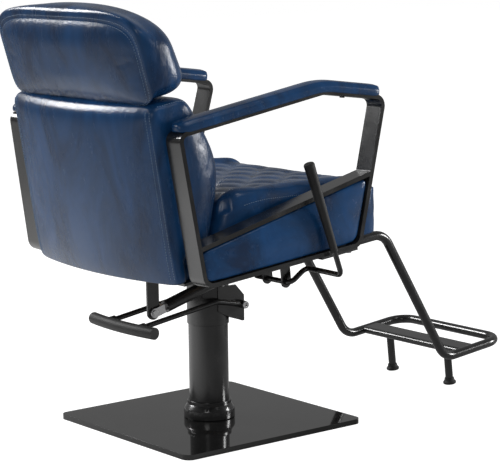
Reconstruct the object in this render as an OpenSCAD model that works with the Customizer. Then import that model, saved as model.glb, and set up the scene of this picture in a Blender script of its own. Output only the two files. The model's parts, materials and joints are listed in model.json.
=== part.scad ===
// Hydraulic barber chair: square base, pump column, reclining back, arm frames, footrest.
// Frame: Z up, the sitter faces -Y, the sitter's right is -X.
// Origin: centre of the base plate's underside, on the column's axis.

/* [Base and column] */
// Side of the square base plate
base_side = 500; // [440:5:600]
// Thickness of the base plate
base_t = 12; // [8:0.5:14]
// Corner radius of the base plate
base_corner = 20; // [8:1:40]
// Outer diameter of the fixed column tube
column_d = 91.5; // [86:0.5:96]
// Wall of the column tube and of the pump head
column_wall = 3; // [2.5:0.5:4]
// Outer diameter of the collar at the foot of the column
collar_d = 118; // [112:1:140]
// Height of the collar
collar_h = 41; // [36:1:60]
// Travel of the hydraulic lift
lift_travel = 120; // [80:5:124]
// Outer diameter of the pump cylinder
cylinder_d = 60; // [54:1:64]
// Diameter of the piston rod
ram_d = 28; // [22:1:32]

/* [Arm frames] */
// Room between the seat cushion's side and the arm frame's outer face
arm_gap = 78; // [74:0.5:84]
// Inward lean of the arm frames, in degrees
arm_tilt = 2.2; // [1.5:0.1:2.6]
// Angle by which the arm frames spread to the front, in degrees
arm_toe = 0.9; // [0.5:0.1:1.4]
// Width of the flat bar
bar_w = 50; // [40:1:52]
// Thickness of the flat bar
bar_t = 10; // [8:0.5:12]
// Height of the seat frame's underside on the column's axis
frame_z = 413; // [410:0.5:425]
// Rise of the seat frame to the front, in degrees
pitch = 6.1; // [5.5:0.1:6.6]
// Rear foot of the arm frame, behind the axis
arm_rear = 264; // [260:1:272]
// Front foot of the arm frame, before the axis
arm_front = 166; // [158:1:172]
// Lean of the rear uprights and of the backrest, in degrees
lean = 9.2; // [8:0.1:11]
// Lean of the front uprights, in degrees
front_lean = 14.4; // [12:0.1:16]
// Height of the rail's rear corner above the underside
rail_rear = 333; // [320:1:345]
// Height of the rail's bend above the underside
rail_peak = 358; // [350:0.5:370]
// Distance of the rail's bend before the axis
rail_peak_y = 111; // [100:1:125]
// Height of the rail's front corner above the underside
rail_front = 316.5; // [305:0.5:325]
// Height of the diagonal seat bar's top at its rear end
seat_bar = 90; // [80:1:105]
// Slope of the diagonal seat bar, in degrees
seat_bar_slope = 8.3; // [6:0.1:10]
// Width of an arm pad
pad_w = 54; // [46:1:56]
// Thickness of an arm pad
pad_t = 18; // [14:1:26]

/* [Seat and back] */
// Width of the seat cushion
seat_w = 532; // [510:2:534]
// Distance of the seat's front face before the axis
seat_front_y = 281; // [265:1:290]
// Distance of the seat cushion's rear face behind the axis
seat_rear_y = 158; // [140:1:160]
// Height of the seat's side edge
seat_top_z = 566; // [550:1:580]
// Thickness of the seat board
board_t = 18; // [12:1:22]
// Width of the backrest
back_w = 540; // [520:2:542]
// Height of the backrest
back_h = 391; // [370:1:400]
// Thickness of the backrest at the lumbar bulge
back_t = 148; // [130:1:156]
// Backward bow of the rear panel
back_bow = 30; // [15:1:40]
// Recline travel, in degrees
recline_travel = 35; // [20:1:35]
// Width of the headrest
headrest_w = 560; // [520:2:580]
// Height of the headrest
headrest_h = 200; // [160:1:210]
// Diameter of a headrest post
post_d = 14; // [10:0.5:16]
// Travel of the headrest
headrest_travel = 70; // [30:5:90]
// Pitch of the seat's diamond channels
quilt_pitch = 68; // [60:1:100]
// Width of the seat's plain bolsters
bolster_w = 50; // [40:1:60]

/* [Recline mechanism and levers] */
// Distance of the gas spring to the sitter's right of the axis
strut_x = 75; // [72:1:84]
// Diameter of the gas spring's tube
strut_d = 28; // [22:1:28]
// Diameter of the gas spring's rod
strut_rod_d = 10; // [8:0.5:12]
// Diameter of the pivot pins
pin_d = 10; // [8:0.5:12]
// Diameter of the recline hinge pins
hinge_pin_d = 12; // [10:0.5:14]
// Diameter of the release lever's rod
lever_d = 12; // [10:0.5:13]
// Largest diameter of the release lever's grip
lever_grip_d = 24.5; // [20:0.5:28]
// Diameter of the foot pedal's rod
pedal_d = 12; // [10:0.5:12]
// Diameter of the foot pedal's sleeve
pedal_grip_d = 27; // [22:0.5:32]

/* [Footrest] */
// Distance between the footrest's tube axes
footrest_w = 360; // [330:2:380]
// Diameter of the footrest's tube
footrest_d = 22; // [18:0.5:25]
// Drop of the footrest below its sockets
footrest_drop = 346; // [330:1:350]
// Distance between the two legs
leg_pitch = 208; // [160:2:240]
// Diameter of a leg
leg_d = 19; // [16:0.5:25]
// Diameter of a foot pad
foot_d = 32; // [26:1:40]

/* [Hidden] */

$fn = 48;
fit = 0.05;                 // running clearance of a shaft, on the radius
gap = 0.3;                  // clearance of parts that only pass or touch softly
tiny = 0.02;

// Outer face of an arm frame, at its underside on the column's axis
arm_x = seat_w / 2 + arm_gap;

// Column
column_r = column_d / 2;
bore_r = column_r - column_wall;
head_r = column_r + 2.5;
head_bore_r = column_r + gap;
head_cap_t = 8;
mount_t = 6;
head_top = frame_z - 41;
tube_top = head_top - head_cap_t - 8;
head_bottom = tube_top - lift_travel - 4;
cylinder_top = head_top - head_cap_t;
bush_h = 50;
bush_lip = 4;
gland_h = 20;
cylinder_bottom = tube_top - bush_h - lift_travel - 16;
piston_h = 20;
piston_top = cylinder_top - 24;
cylinder_bore_r = cylinder_d / 2 - 5;
flange_r = collar_d / 2 - 3;
flange_t = 8;
base_screw_d = 6;
base_screw_r = (column_r + flange_r) / 2 + 0.3;
rod_screw_d = 16;

// Black, leather and metal colours
steel = [0.09, 0.09, 0.1];
leather = [0.1, 0.17, 0.34];
silver = [0.78, 0.78, 0.8];
rubber = [0.13, 0.13, 0.13];
wood = [0.7, 0.55, 0.38];

// --- Shared helpers ---

function unit(v) = v / norm(v);
function mid(list) = [for (k = [0:len(list[0]) - 1]) sum([for (p = list) p[k]]) / len(list)];
function sum(v, i = 0) = i < len(v) ? v[i] + sum(v, i + 1) : 0;

// Where the line through p and q meets the line through a and b, in a plane
function meet(p, q, a, b) =
  let (d = q - p, e = b - a, w = a - p)
  p + d * (w[0] * e[1] - w[1] * e[0]) / (d[0] * e[1] - d[1] * e[0]);

// The line through p and q, moved to its left by t
function beside(p, q, t) =
  let (d = unit(q - p), n = [-d[1], d[0]] * t)
  [p + n, q + n];

// Points of a polygon with its corners rounded: p are the corners, r their radii
function rounded(p, r, steps = 7) = [
  for (i = [0:len(p) - 1])
    let (a = p[(i + len(p) - 1) % len(p)], b = p[i], c = p[(i + 1) % len(p)],
         u = unit(a - b), w = unit(c - b), half = acos(u * w) / 2,
         centre = b + unit(u + w) * r[i] / sin(half),
         from = b + u * r[i] / tan(half) - centre,
         to = b + w * r[i] / tan(half) - centre,
         start = atan2(from[1], from[0]),
         raw = atan2(to[1], to[0]) - start,
         turn = raw > 180 ? raw - 360 : (raw < -180 ? raw + 360 : raw))
    for (k = [0:steps])
      centre + r[i] * [cos(start + turn * k / steps), sin(start + turn * k / steps)]];

// A solid through rings of equal point counts, closed at both ends
module skin(rings) {
  n = len(rings[0]);
  m = len(rings);
  polyhedron(
    concat([for (r = rings) each r], [mid(rings[0]), mid(rings[m - 1])]),
    concat(
      [for (i = [0:m - 2], j = [0:n - 1])
        let (a = i * n + j, b = i * n + (j + 1) % n, c = b + n, d = a + n)
        each [[a, c, b], [a, d, c]]],
      [for (j = [0:n - 1]) [m * n, j, (j + 1) % n]],
      [for (j = [0:n - 1]) [m * n + 1, (m - 1) * n + (j + 1) % n, (m - 1) * n + j]]));
}

// Points round the edge of a square from -1 to 1, with drawn-in corners; low shapes the lower half
function soft_square(sides, power, low = 0) = [
  for (k = [0:3], i = [0:sides - 1])
    let (a = -1 + 2 * i / sides,
         p = [[a, -1], [1, a], [-a, 1], [-1, -a]][k],
         n = low > 0 && p[1] < 0 ? low : power)
    p / pow(pow(abs(p[0]), n) + pow(abs(p[1]), n), 1 / n)];

// A straight round bar from p to q
module bar(p, q, d) {
  v = q - p;
  translate(p)
    rotate([0, acos(v[2] / norm(v)), atan2(v[1], v[0])])
      cylinder(h = norm(v), d = d);
}

// The bend of a round bar at b, between a and c, with bend radius r
module bend(a, b, c, r, d) {
  u = unit(a - b);
  w = unit(c - b);
  half = acos(u * w) / 2;
  centre = b + unit(u + w) * r / sin(half);
  axis = unit(cross(w, u));
  from = b + u * r / tan(half) - centre;
  az = atan2(axis[1], axis[0]);
  pol = acos(axis[2]);
  ex = [cos(az) * cos(pol), sin(az) * cos(pol), -sin(pol)];
  ey = [-sin(az), cos(az), 0];
  translate(centre)
    rotate([0, pol, az])
      rotate([0, 0, atan2(from * ey, from * ex)])
        rotate_extrude(angle = 180 - 2 * half)
          translate([r, 0])
            circle(d = d);
}

// A round bar along the points p, bent to radius r at each inner point
module bent_bar(p, r, d) {
  last = len(p) - 1;
  function cut(i) = (i == 0 || i == last) ? 0
    : r / tan(acos(unit(p[i - 1] - p[i]) * unit(p[i + 1] - p[i])) / 2);
  for (i = [0:last - 1]) {
    u = unit(p[i + 1] - p[i]);
    bar(p[i] + u * max(0, cut(i) - 0.6), p[i + 1] - u * max(0, cut(i + 1) - 0.6), d);
  }
  for (i = [1:last - 1])
    bend(p[i - 1], p[i], p[i + 1], r, d - 0.12);
}

// Cylinder along X
module across(x0, x1, r) {
  translate([x0, 0, 0])
    rotate([0, 90, 0])
      cylinder(h = x1 - x0, r = r);
}

// A profile in the YZ plane, extruded along X from x0 to x1
module side_extrude(x0, x1) {
  translate([x0, 0, 0])
    rotate([90, 0, 90])
      linear_extrude(x1 - x0)
        children();
}

// Right and left copies
module both() {
  children();
  mirror([1, 0, 0])
    children();
}

// The frame of the pitched underside: Z 0 is the arm frames' underside
module pitched() {
  translate([0, 0, frame_z])
    rotate([-pitch, 0, 0])
      children();
}
function pitched_pt(y, z) = [y * cos(pitch) + z * sin(pitch), frame_z - y * sin(pitch) + z * cos(pitch)];
function under_z(y) = frame_z - y * tan(pitch);

// The frame of the backrest: Y is depth, rearward from the rear edges, Z is height
back_y = arm_rear + 4;
back_z = under_z(back_y) + 5.6;
module leaned() {
  translate([0, back_y, back_z])
    rotate([-lean, 0, 0])
      children();
}
function leaned_pt(t, s) = [back_y + t * cos(lean) + s * sin(lean), back_z - t * sin(lean) + s * cos(lean)];

// The frame of one arm: X 0 is its outer face, Z 0 its underside
arm_lift = bar_w * sin(arm_tilt);
module arm_local() {
  pitched()
    translate([arm_x, 0, arm_lift])
      rotate([0, -arm_tilt, arm_toe])
        children();
}

// --- Arm frame outline, in the plane of the arm ---

foot_rear = [arm_rear, 0];
foot_front = [-arm_front, 0];
top_rear = [arm_rear + rail_rear * tan(lean - pitch), rail_rear];
top_peak = [-rail_peak_y, rail_peak];
top_front = [-arm_front - rail_front * tan(front_lean + pitch), rail_front];
rear_in = beside(foot_rear, top_rear, bar_t);
rail_in = beside(top_rear, top_peak, bar_t);
nose_in = beside(top_peak, top_front, bar_t);
front_in = beside(top_front, foot_front, bar_t);
sole_in = beside(foot_front, foot_rear, bar_t);
seat_bar_top = [[arm_rear - 18, seat_bar + 2.5], [arm_rear - 118, seat_bar + 2.5 + 100 * tan(seat_bar_slope)]];
seat_bar_low = beside(seat_bar_top[0], seat_bar_top[1], bar_t);
corner_r = 28;
upper_cell = [meet(rear_in[0], rear_in[1], seat_bar_top[0], seat_bar_top[1]),
  meet(rear_in[0], rear_in[1], rail_in[0], rail_in[1]),
  meet(rail_in[0], rail_in[1], nose_in[0], nose_in[1]),
  meet(nose_in[0], nose_in[1], front_in[0], front_in[1]),
  meet(front_in[0], front_in[1], seat_bar_top[0], seat_bar_top[1])];
lower_cell = [meet(sole_in[0], sole_in[1], rear_in[0], rear_in[1]),
  meet(rear_in[0], rear_in[1], seat_bar_low[0], seat_bar_low[1]),
  meet(seat_bar_low[0], seat_bar_low[1], front_in[0], front_in[1]),
  meet(front_in[0], front_in[1], sole_in[0], sole_in[1])];

module arm_frame() {
  color(steel)
    arm_local()
      difference() {
        side_extrude(-bar_w, 0)
          difference() {
            polygon(rounded([foot_rear, top_rear, top_peak, top_front, foot_front],
              [corner_r, corner_r - 6, 60, corner_r - 3, corner_r]));
            polygon(rounded(upper_cell, [1, corner_r - 16, 50, corner_r - 13, 1]));
            polygon(rounded(lower_cell, [corner_r - bar_t, 1, 1, corner_r - bar_t]));
          }
        for (at = pad_screw_at)
          pad_screw_axis(at)
            translate([0, 0, -bar_t - 2])
              cylinder(h = bar_t + 4, d = pad_screw_d + 0.5);
      }
}

// --- Arm pads: a bent bar of eight-sided section, with chamfered ends ---

pad_screw_d = 5;
pad_screw_at = [[0.12, 0], [0.55, 0], [0.4, 1]];
pad_x = -bar_w / 2;
pad_rear_over = 14;
pad_front_back = 20;
rail_dir = unit(top_rear - top_peak);
nose_dir = unit(top_front - top_peak);
pad_rear = top_rear + rail_dir * pad_rear_over;
pad_front = top_front - nose_dir * pad_front_back;
module pad_screw_axis(at) {
  p = at[1] == 0 ? top_rear + (top_peak - top_rear) * at[0]
                 : top_peak + (top_front - top_peak) * at[0];
  d = at[1] == 0 ? -rail_dir : nose_dir;
  translate([pad_x, p[0], p[1]])
    rotate([atan2(-d[1], -d[0]), 0, 0])
      children();
}
// One ring of the pad at point c of the rail, with thickness along n, drawn in by k
function pad_ring(c, n, k) = [
  for (q = [[-1, 0.35], [-0.88, 0], [0.88, 0], [1, 0.35], [1, 0.62], [0.78, 1], [-0.78, 1], [-1, 0.62]])
    let (h = gap + (0.5 + (q[1] - 0.5) * k) * pad_t)
    [pad_x + q[0] * k * pad_w / 2, c[0] + n[0] * h, c[1] + n[1] * h]];
module arm_pad() {
  up_rear = [-rail_dir[1], rail_dir[0]];
  up_nose = [nose_dir[1], -nose_dir[0]];
  up_peak = unit(up_rear + up_nose) / (unit(up_rear + up_nose) * up_rear);
  color(leather)
    arm_local()
      difference() {
        skin([
          pad_ring(pad_rear, up_rear, 0.62),
          pad_ring(pad_rear - rail_dir * 5, up_rear, 0.86),
          pad_ring(pad_rear - rail_dir * 14, up_rear, 1),
          pad_ring(top_peak + rail_dir * 30, up_rear, 1),
          pad_ring(top_peak, up_peak, 1),
          pad_ring(top_peak + nose_dir * 30, up_nose, 1),
          pad_ring(pad_front - nose_dir * 10, up_nose, 1),
          pad_ring(pad_front - nose_dir * 4, up_nose, 0.88),
          pad_ring(pad_front, up_nose, 0.66)]);
        for (at = pad_screw_at)
          pad_screw_axis(at)
            translate([0, 0, -2])
              cylinder(h = 13, d = pad_screw_d);
      }
}
module pad_screws() {
  color(steel)
    both()
      arm_local()
        for (at = pad_screw_at)
          pad_screw_axis(at)
            translate([0, 0, -bar_t - 3]) {
              cylinder(h = 3, d = 2.2 * pad_screw_d);
              cylinder(h = bar_t + 13, d = pad_screw_d - 0.1);
            }
}

// --- Base and column ---

module base_plate() {
  color(steel)
    difference() {
      linear_extrude(base_t)
        polygon(rounded(
          [for (q = [[1, -1], [1, 1], [-1, 1], [-1, -1]]) q * base_side / 2],
          [for (i = [0:3]) base_corner]));
      translate([0, 0, -1])
        cylinder(h = base_t + 2, d = rod_screw_d + 1);
      translate([0, 0, -tiny])
        cylinder(h = 6 + tiny, r1 = rod_screw_d / 2 + 7, r2 = rod_screw_d / 2 + 1);
      for (a = [45:90:315])
        rotate([0, 0, a])
          translate([base_screw_r, 0, -tiny]) {
            cylinder(h = base_t + 1, d = base_screw_d + 0.4);
            cylinder(h = 3.5, d1 = 2 * base_screw_d + 0.4, d2 = base_screw_d + 0.4);
          }
    }
}
module base_screws() {
  color(steel)
    for (a = [45:90:315])
      rotate([0, 0, a])
        translate([base_screw_r, 0, 0.3]) {
          cylinder(h = base_t + flange_t - 3, d = base_screw_d - 0.1);
          cylinder(h = 3, d1 = 2 * base_screw_d - 0.4, d2 = base_screw_d - 0.1);
        }
}
module rod_screw() {
  color(steel)
    translate([0, 0, 0.3]) {
      cylinder(h = base_t + 22, d = rod_screw_d - 0.1);
      cylinder(h = 5.5, r1 = rod_screw_d / 2 + 5.8, r2 = rod_screw_d / 2 - 0.05);
    }
}
module column_tube() {
  color(steel)
    translate([0, 0, base_t])
      difference() {
        union() {
          cylinder(h = tube_top - base_t, r = column_r);
          cylinder(h = flange_t, r = flange_r);
        }
        translate([0, 0, -1])
          cylinder(h = tube_top, r = bore_r);
        for (a = [45:90:315])
          rotate([0, 0, a])
            translate([base_screw_r, 0, -1])
              cylinder(h = flange_t, d = base_screw_d);
      }
}
module base_collar() {
  ring_r = collar_d / 2;
  neck_r = column_r + 5;
  lower_h = 0.48 * collar_h;
  upper_h = 0.75 * collar_h;
  color(steel)
    translate([0, 0, base_t])
      rotate_extrude()
        polygon([[flange_r + gap, 0], [ring_r - 1.5, 0], [ring_r, 1.5], [ring_r, lower_h],
          [neck_r + 1.5, upper_h], [neck_r, upper_h + 1.5], [neck_r, collar_h - 1],
          [neck_r - 1, collar_h], [column_r + 0.1, collar_h], [column_r + 0.1, flange_t + 6],
          [flange_r + gap, flange_t + 1]]);
}
module piston_rod() {
  color(silver)
    difference() {
      union() {
        translate([0, 0, base_t])
          cylinder(h = piston_top - base_t, d = ram_d);
        translate([0, 0, base_t])
          cylinder(h = 10, r = bore_r - 4);
        translate([0, 0, piston_top - piston_h])
          cylinder(h = piston_h, r = cylinder_bore_r - fit);
      }
      translate([0, 0, base_t - 1])
        cylinder(h = 26, d = rod_screw_d);
    }
}
module guide_bush() {
  color([0.85, 0.84, 0.8])
    translate([0, 0, tube_top - bush_h])
      difference() {
        union() {
          cylinder(h = bush_h + bush_lip, r = bore_r - fit);
          translate([0, 0, bush_h])
            cylinder(h = bush_lip, r = column_r - 0.5);
        }
        translate([0, 0, -1])
          cylinder(h = bush_h + bush_lip + 2, r = cylinder_d / 2 + fit);
      }
}

// --- Pump, moving with the seat ---

module pump_cylinder() {
  color(silver)
    translate([0, 0, cylinder_bottom + gland_h])
      difference() {
        cylinder(h = cylinder_top - cylinder_bottom - gland_h, d = cylinder_d);
        translate([0, 0, -1])
          cylinder(h = cylinder_top - cylinder_bottom - gland_h - 14, r = cylinder_bore_r);
      }
}
module cylinder_gland() {
  color([0.75, 0.6, 0.3])
    translate([0, 0, cylinder_bottom])
      difference() {
        cylinder(h = gland_h, d = cylinder_d - 1);
        translate([0, 0, -1])
          cylinder(h = gland_h + 2, r = ram_d / 2 + fit);
      }
}
module pump_head() {
  color(steel)
    translate([0, 0, head_bottom])
      difference() {
        cylinder(h = head_top - head_bottom, r = head_r);
        translate([0, 0, -1])
          cylinder(h = head_top - head_bottom - head_cap_t + 1, r = head_bore_r);
      }
}

// --- Pedal bracket at the front of the pump head ---

pedal_y = -57;
pedal_z = head_top - 96.5;
cheek_x = 46;
cheek_t = 4;
boss_half = pedal_d / 2 + 0.7;
pedal_x = cheek_x + cheek_t + boss_half + 0.5;
module pedal_bracket() {
  top_z = head_top - 50;
  low_z = pedal_z - 40;
  nose_y = pedal_y - 10;
  color(steel)
    difference() {
      union() {
        both()
          side_extrude(cheek_x, cheek_x + cheek_t)
            polygon([[8, top_z], [nose_y + 24, top_z], [nose_y, top_z - 26],
              [nose_y, low_z], [nose_y + 6, low_z], [-14, low_z + 18], [8, low_z + 30]]);
        translate([-cheek_x - 1, nose_y, low_z])
          cube([2 * cheek_x + 2, 5, 22]);
      }
      translate([0, 0, head_bottom - 60])
        cylinder(h = 300, r = head_r);
      translate([0, pedal_y, pedal_z])
        across(-cheek_x - 10, cheek_x + 10, pin_d / 2);
    }
}
module pedal_bolts() {
  color(silver)
    both()
      translate([0, pedal_y, pedal_z])
        difference() {
          union() {
            across(cheek_x - 4, pedal_x + boss_half + 2, pin_d / 2 - 0.03);
            across(pedal_x + boss_half + 0.5, pedal_x + boss_half + 6, 8.5);
          }
          across(pedal_x + boss_half + 3, pedal_x + boss_half + 9, 4);
        }
}

// --- Seat mount, frame and board ---

frame_t = 6;
plate_low = bar_t - mount_t;
plate_front = 145;
plate_rear = 88;
mount_half = strut_x + 22;
mount_hole = [[-42, -110], [42, -110], [-42, 62], [42, 62]];
module seat_mount() {
  color(steel)
    difference() {
      union() {
        translate([-54, -72, head_top])
          cube([108, 144, mount_t]);
        pitched()
          translate([-mount_half, -plate_front, plate_low])
            cube([mount_half + 56, plate_front + plate_rear, mount_t]);
        difference() {
          translate([0, 0, head_top])
            for (x = [-54, 49])
              translate([x, -72, 0])
                cube([5, 144, 80]);
          pitched()
            translate([-200, -300, plate_low + 1])
              cube([400, 600, 200]);
        }
      }
      pitched()
        for (q = mount_hole)
          translate([q[0], q[1], 0])
            cylinder(h = 20, d = 8.4);
      for (a = [45:90:315])
        rotate([0, 0, a])
          translate([30, 0, head_top - 1])
            cylinder(h = 10, d = 8.4);
    }
}
module mount_bolts() {
  color(silver)
    pitched()
      for (q = mount_hole)
        translate([q[0], q[1], plate_low - 5]) {
          cylinder(h = 5, d = 13, $fn = 6);
          cylinder(h = mount_t + frame_t + 17, d = 8);
        }
}
strap_at = [-132, 108];
strap_w = 42;
board_half = seat_w / 2 - 18;
strap_half = arm_x - bar_w - 12;
module seat_frame() {
  color(steel)
    both()
      for (y = strap_at)
        arm_local()
          translate([-bar_w - 22, y + 1.5, bar_t])
            cube([bar_w + 8, strap_w - 3, frame_t]);
  color(steel)
    pitched()
      difference() {
        union() {
          translate([-110, -plate_front, bar_t])
            cube([220, plate_front + plate_rear + 30, frame_t]);
          for (y = strap_at)
            translate([-strap_half, y, bar_t])
              cube([2 * strap_half, strap_w, frame_t]);
        }
        for (q = mount_hole)
          translate([q[0], q[1], 0])
            cylinder(h = 30, d = 8.4);
        for (q = bracket_hole)
          translate([q[0], q[1], 0])
            cylinder(h = 30, d = 6.4);
      }
}
board_low = bar_t + frame_t;
board_front = seat_front_y - 14;
board_rear = seat_rear_y - 4;
module seat_board() {
  color(wood)
    pitched()
      difference() {
        translate([-board_half, -board_front, board_low])
          cube([2 * board_half, board_front + board_rear, board_t]);
        for (q = mount_hole)
          translate([q[0], q[1], 0])
            cylinder(h = 33, d = 8.2);
        for (q = bracket_hole)
          translate([q[0], q[1], 0])
            cylinder(h = 30, d = 6.2);
      }
}

// --- Seat cushion: box sides, raised bolsters, crown and diamond channels ---

seat_mid_y = (seat_rear_y - seat_front_y) / 2;
seat_half_y = (seat_rear_y + seat_front_y) / 2;
cushion_low = board_low + board_t + gap;
apron_t = 12;
apron_low = -5;
apron_front = (seat_front_y - 0.7) / cos(pitch) + cushion_low * tan(pitch);
tail = 18;
quilt_half_x = seat_w / 2 - bolster_w;
quilt_front = -seat_front_y + bolster_w;
quilt_rear = seat_rear_y - 18;
cells_x = 4 * round(quilt_half_x * 2 / quilt_pitch);
cells_y = 4 * round((quilt_rear - quilt_front) / quilt_pitch);
// How far the quilt puffs up at a point of its grid: 0 on a seam, 1 in the middle of a diamond
function puff(i, j) =
  let (a = abs(((i + j + 800) % 4) - 2), b = abs(((i - j + 800) % 4) - 2)) min(a, b) / 2;
function crown(x, y) =
  let (v = (y + seat_front_y) / (2 * seat_half_y))
  seat_top_z + 6 - 26 * pow(max(0, 0.32 - v) / 0.32, 2) + 9 * max(0, v - 0.4);
function quilt_point(i, j) =
  let (x = quilt_half_x * (2 * i / cells_x - 1),
       y = quilt_front + (quilt_rear - quilt_front) * j / cells_y)
  [x, y, crown(x, y) - 8 + 7 * sqrt(puff(i, j))];
function quilt_edge(i, j) = let (p = quilt_point(i, j)) [p[0], p[1], crown(p[0], p[1]) - 9];
quilt_rim = concat([for (i = [0:cells_x - 1]) [i, 0]], [for (j = [0:cells_y - 1]) [cells_x, j]],
  [for (i = [0:cells_x - 1]) [cells_x - i, cells_y]], [for (j = [0:cells_y - 1]) [0, cells_y - j]]);
// A ring round the quilt, k of the way to the cushion's edge; lift is above the crown
function seat_ring(k, lift, back = 0, low = false) = [
  for (q = quilt_rim)
    let (u = 2 * q[0] / cells_x - 1, v = 2 * q[1] / cells_y - 1,
         soft = pow(pow(abs(u), 26) + pow(abs(v), 26), 1 / 26),
         inner = quilt_point(q[0], q[1]),
         x = inner[0] + (u / soft * seat_w / 2 - inner[0]) * k,
         y = inner[1] + (seat_mid_y + v / soft * seat_half_y - inner[1]) * k + back * max(0, v))
    [x, y, low ? under_z(y) + cushion_low / cos(pitch) : crown(x, y) + lift]];
// Closed shell: rings from the underside up to the rim of the quilt, then the quilt itself
module seat_shell(rings) {
  n = len(quilt_rim);
  m = len(rings);
  w = cells_x + 1;
  g = n * m;
  function at(q) = g + q[1] * w + q[0];
  rim = [for (q = quilt_rim) at(q)];
  polyhedron(
    concat([for (r = rings) each r],
      [for (j = [0:cells_y], i = [0:cells_x])
        (i == 0 || j == 0 || i == cells_x || j == cells_y) ? quilt_edge(i, j) : quilt_point(i, j)],
      [mid(rings[0])]),
    concat(
      [for (i = [0:m - 1], j = [0:n - 1])
        let (a = i * n + j, b = i * n + (j + 1) % n,
             c = i == m - 1 ? rim[(j + 1) % n] : b + n, d = i == m - 1 ? rim[j] : a + n)
        each [[a, c, b], [a, d, c]]],
      [for (j = [0:n - 1]) [g + w * (cells_y + 1), j, (j + 1) % n]],
      [for (j = [0:cells_y - 1], i = [0:cells_x - 1])
        let (a = at([i, j]), b = a + 1, c = b + w, d = a + w)
        each ((i + j) % 2 == 0 ? [[a, c, b], [a, d, c]] : [[a, d, b], [b, d, c]])]));
}
module seat_cushion() {
  color(leather) {
    seat_shell([seat_ring(1, 0, back = tail, low = true), seat_ring(1, -34, back = tail / 2),
      seat_ring(0.99, -14), seat_ring(0.9, -4), seat_ring(0.7, 2), seat_ring(0.45, 3), seat_ring(0.2, -1)]);
    difference() {
      pitched()
        translate([-seat_w / 2 + 0.7, -apron_front, apron_low])
          difference() {
            cube([seat_w - 1.4, 132, cushion_low - apron_low + 8]);
            translate([apron_t, apron_t, -1])
              cube([seat_w - 1.4 - 2 * apron_t, 140, cushion_low - apron_low + 1]);
            translate([-1, 126, -1])
              cube([seat_w, 140, cushion_low - apron_low - 4]);
          }
      pitched()
        translate([-seat_w, strap_at[0] - 1, bar_t - gap])
          cube([2 * seat_w, 2 * strap_w, frame_t + 2 * gap]);
    }
  }
}

// --- Side panels that fill the arm frames below the seat bar ---

panel_t = 40;
panel_gap = 2;
module side_panel() {
  low = [for (i = [0:3]) beside(lower_cell[i], lower_cell[(i + 1) % 4], panel_gap)];
  corners = [for (i = [0:3]) let (a = low[(i + 3) % 4], b = low[i]) meet(a[0], a[1], b[0], b[1])];
  color(leather)
    arm_local()
      difference() {
        side_extrude(-2 - panel_t, -2)
          polygon(rounded(corners, [corner_r - bar_t + 3, 3, 3, corner_r - bar_t + 3]));
        for (y = strap_at)
          translate([-bar_w - 22, y + 1.5 - gap, 0])
            cube([bar_w + 8 + gap, strap_w - 3 + 2 * gap, bar_t + frame_t + gap]);
      }
}

// --- Recline hinge: plates on the seat frame, pins through the back's lugs ---

pivot_t = -60;
pivot_s = 14;
pivot = leaned_pt(pivot_t, pivot_s);
lug_t = 6;
lug_x = back_w / 2 - 20;
plate_x = lug_x + lug_t + 0.6;
hinge_r = 14;
pivot_y = pivot[0] * cos(pitch) - (pivot[1] - frame_z) * sin(pitch);
pivot_z = pivot[0] * sin(pitch) + (pivot[1] - frame_z) * cos(pitch);
module hinge_plates() {
  color(steel)
    both()
      difference() {
        pitched() {
          translate([plate_x, strap_at[1] + 4, board_low])
            cube([lug_t, pivot_y - strap_at[1] - 4, cushion_low - board_low - 2]);
          translate([plate_x, pivot_y - hinge_r, board_low])
            cube([lug_t, hinge_r, pivot_z - board_low]);
          translate([0, pivot_y, pivot_z])
            across(plate_x, plate_x + lug_t, hinge_r);
        }
        translate([0, pivot[0], pivot[1]])
          across(plate_x - 5, plate_x + lug_t + 5, hinge_pin_d / 2);
      }
}
module hinge_pins() {
  color(silver)
    both()
      translate([0, pivot[0], pivot[1]]) {
        across(lug_x - 4, plate_x + lug_t, hinge_pin_d / 2 - 0.02);
        across(plate_x + lug_t, plate_x + lug_t + 3, hinge_pin_d / 2 + 3);
      }
}

// --- Footrest ---

socket_x = footrest_w / 2;
tube_z = -34;
socket_in = 190;
socket_out = 252;
slope_run = 164;
toe_run = 195;
knee_y = -378;
socket_top = apron_low - 1.5;
socket_reach = 282;
bolt_y = -socket_reach + 14;
module footrest_sockets() {
  color(steel)
    pitched()
      both()
        difference() {
          union() {
            translate([socket_x - 17, -socket_reach, tube_z - footrest_d / 2 - 5])
              cube([34, socket_reach - socket_in + 16, socket_top - tube_z + footrest_d / 2 + 5]);
            translate([socket_x - 17, -socket_out, tube_z])
              cube([34, socket_out - socket_in + 16, board_low - tube_z]);
          }
          translate([socket_x, -socket_reach - 1, tube_z])
            rotate([-90, 0, 0])
              cylinder(h = socket_reach - socket_in + 1, d = footrest_d + 0.4);
          translate([socket_x, bolt_y, tube_z - footrest_d])
            cylinder(h = footrest_d, d = 8);
        }
}
module footrest_bolts() {
  color(silver)
    pitched()
      both()
        translate([socket_x, bolt_y, tube_z - footrest_d / 2 - 11]) {
          cylinder(h = 6, d = 14, $fn = 6);
          cylinder(h = 10.9, d = 7.9);
        }
}
footrest_path = [
  [socket_x, -socket_in - 2, tube_z],
  [socket_x, knee_y, tube_z],
  [socket_x, knee_y - slope_run, tube_z - footrest_drop],
  [socket_x, knee_y - slope_run - toe_run, tube_z - footrest_drop],
  [-socket_x, knee_y - slope_run - toe_run, tube_z - footrest_drop],
  [-socket_x, knee_y - slope_run, tube_z - footrest_drop],
  [-socket_x, knee_y, tube_z],
  [-socket_x, -socket_in - 2, tube_z]];
module footrest_frame() {
  color(steel)
    pitched()
      bent_bar(footrest_path, 48, footrest_d);
}
tread_y = knee_y - slope_run - 79;
tread_w = 56;
tread_t = 18;
tread_z = tube_z - footrest_drop;
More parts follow.
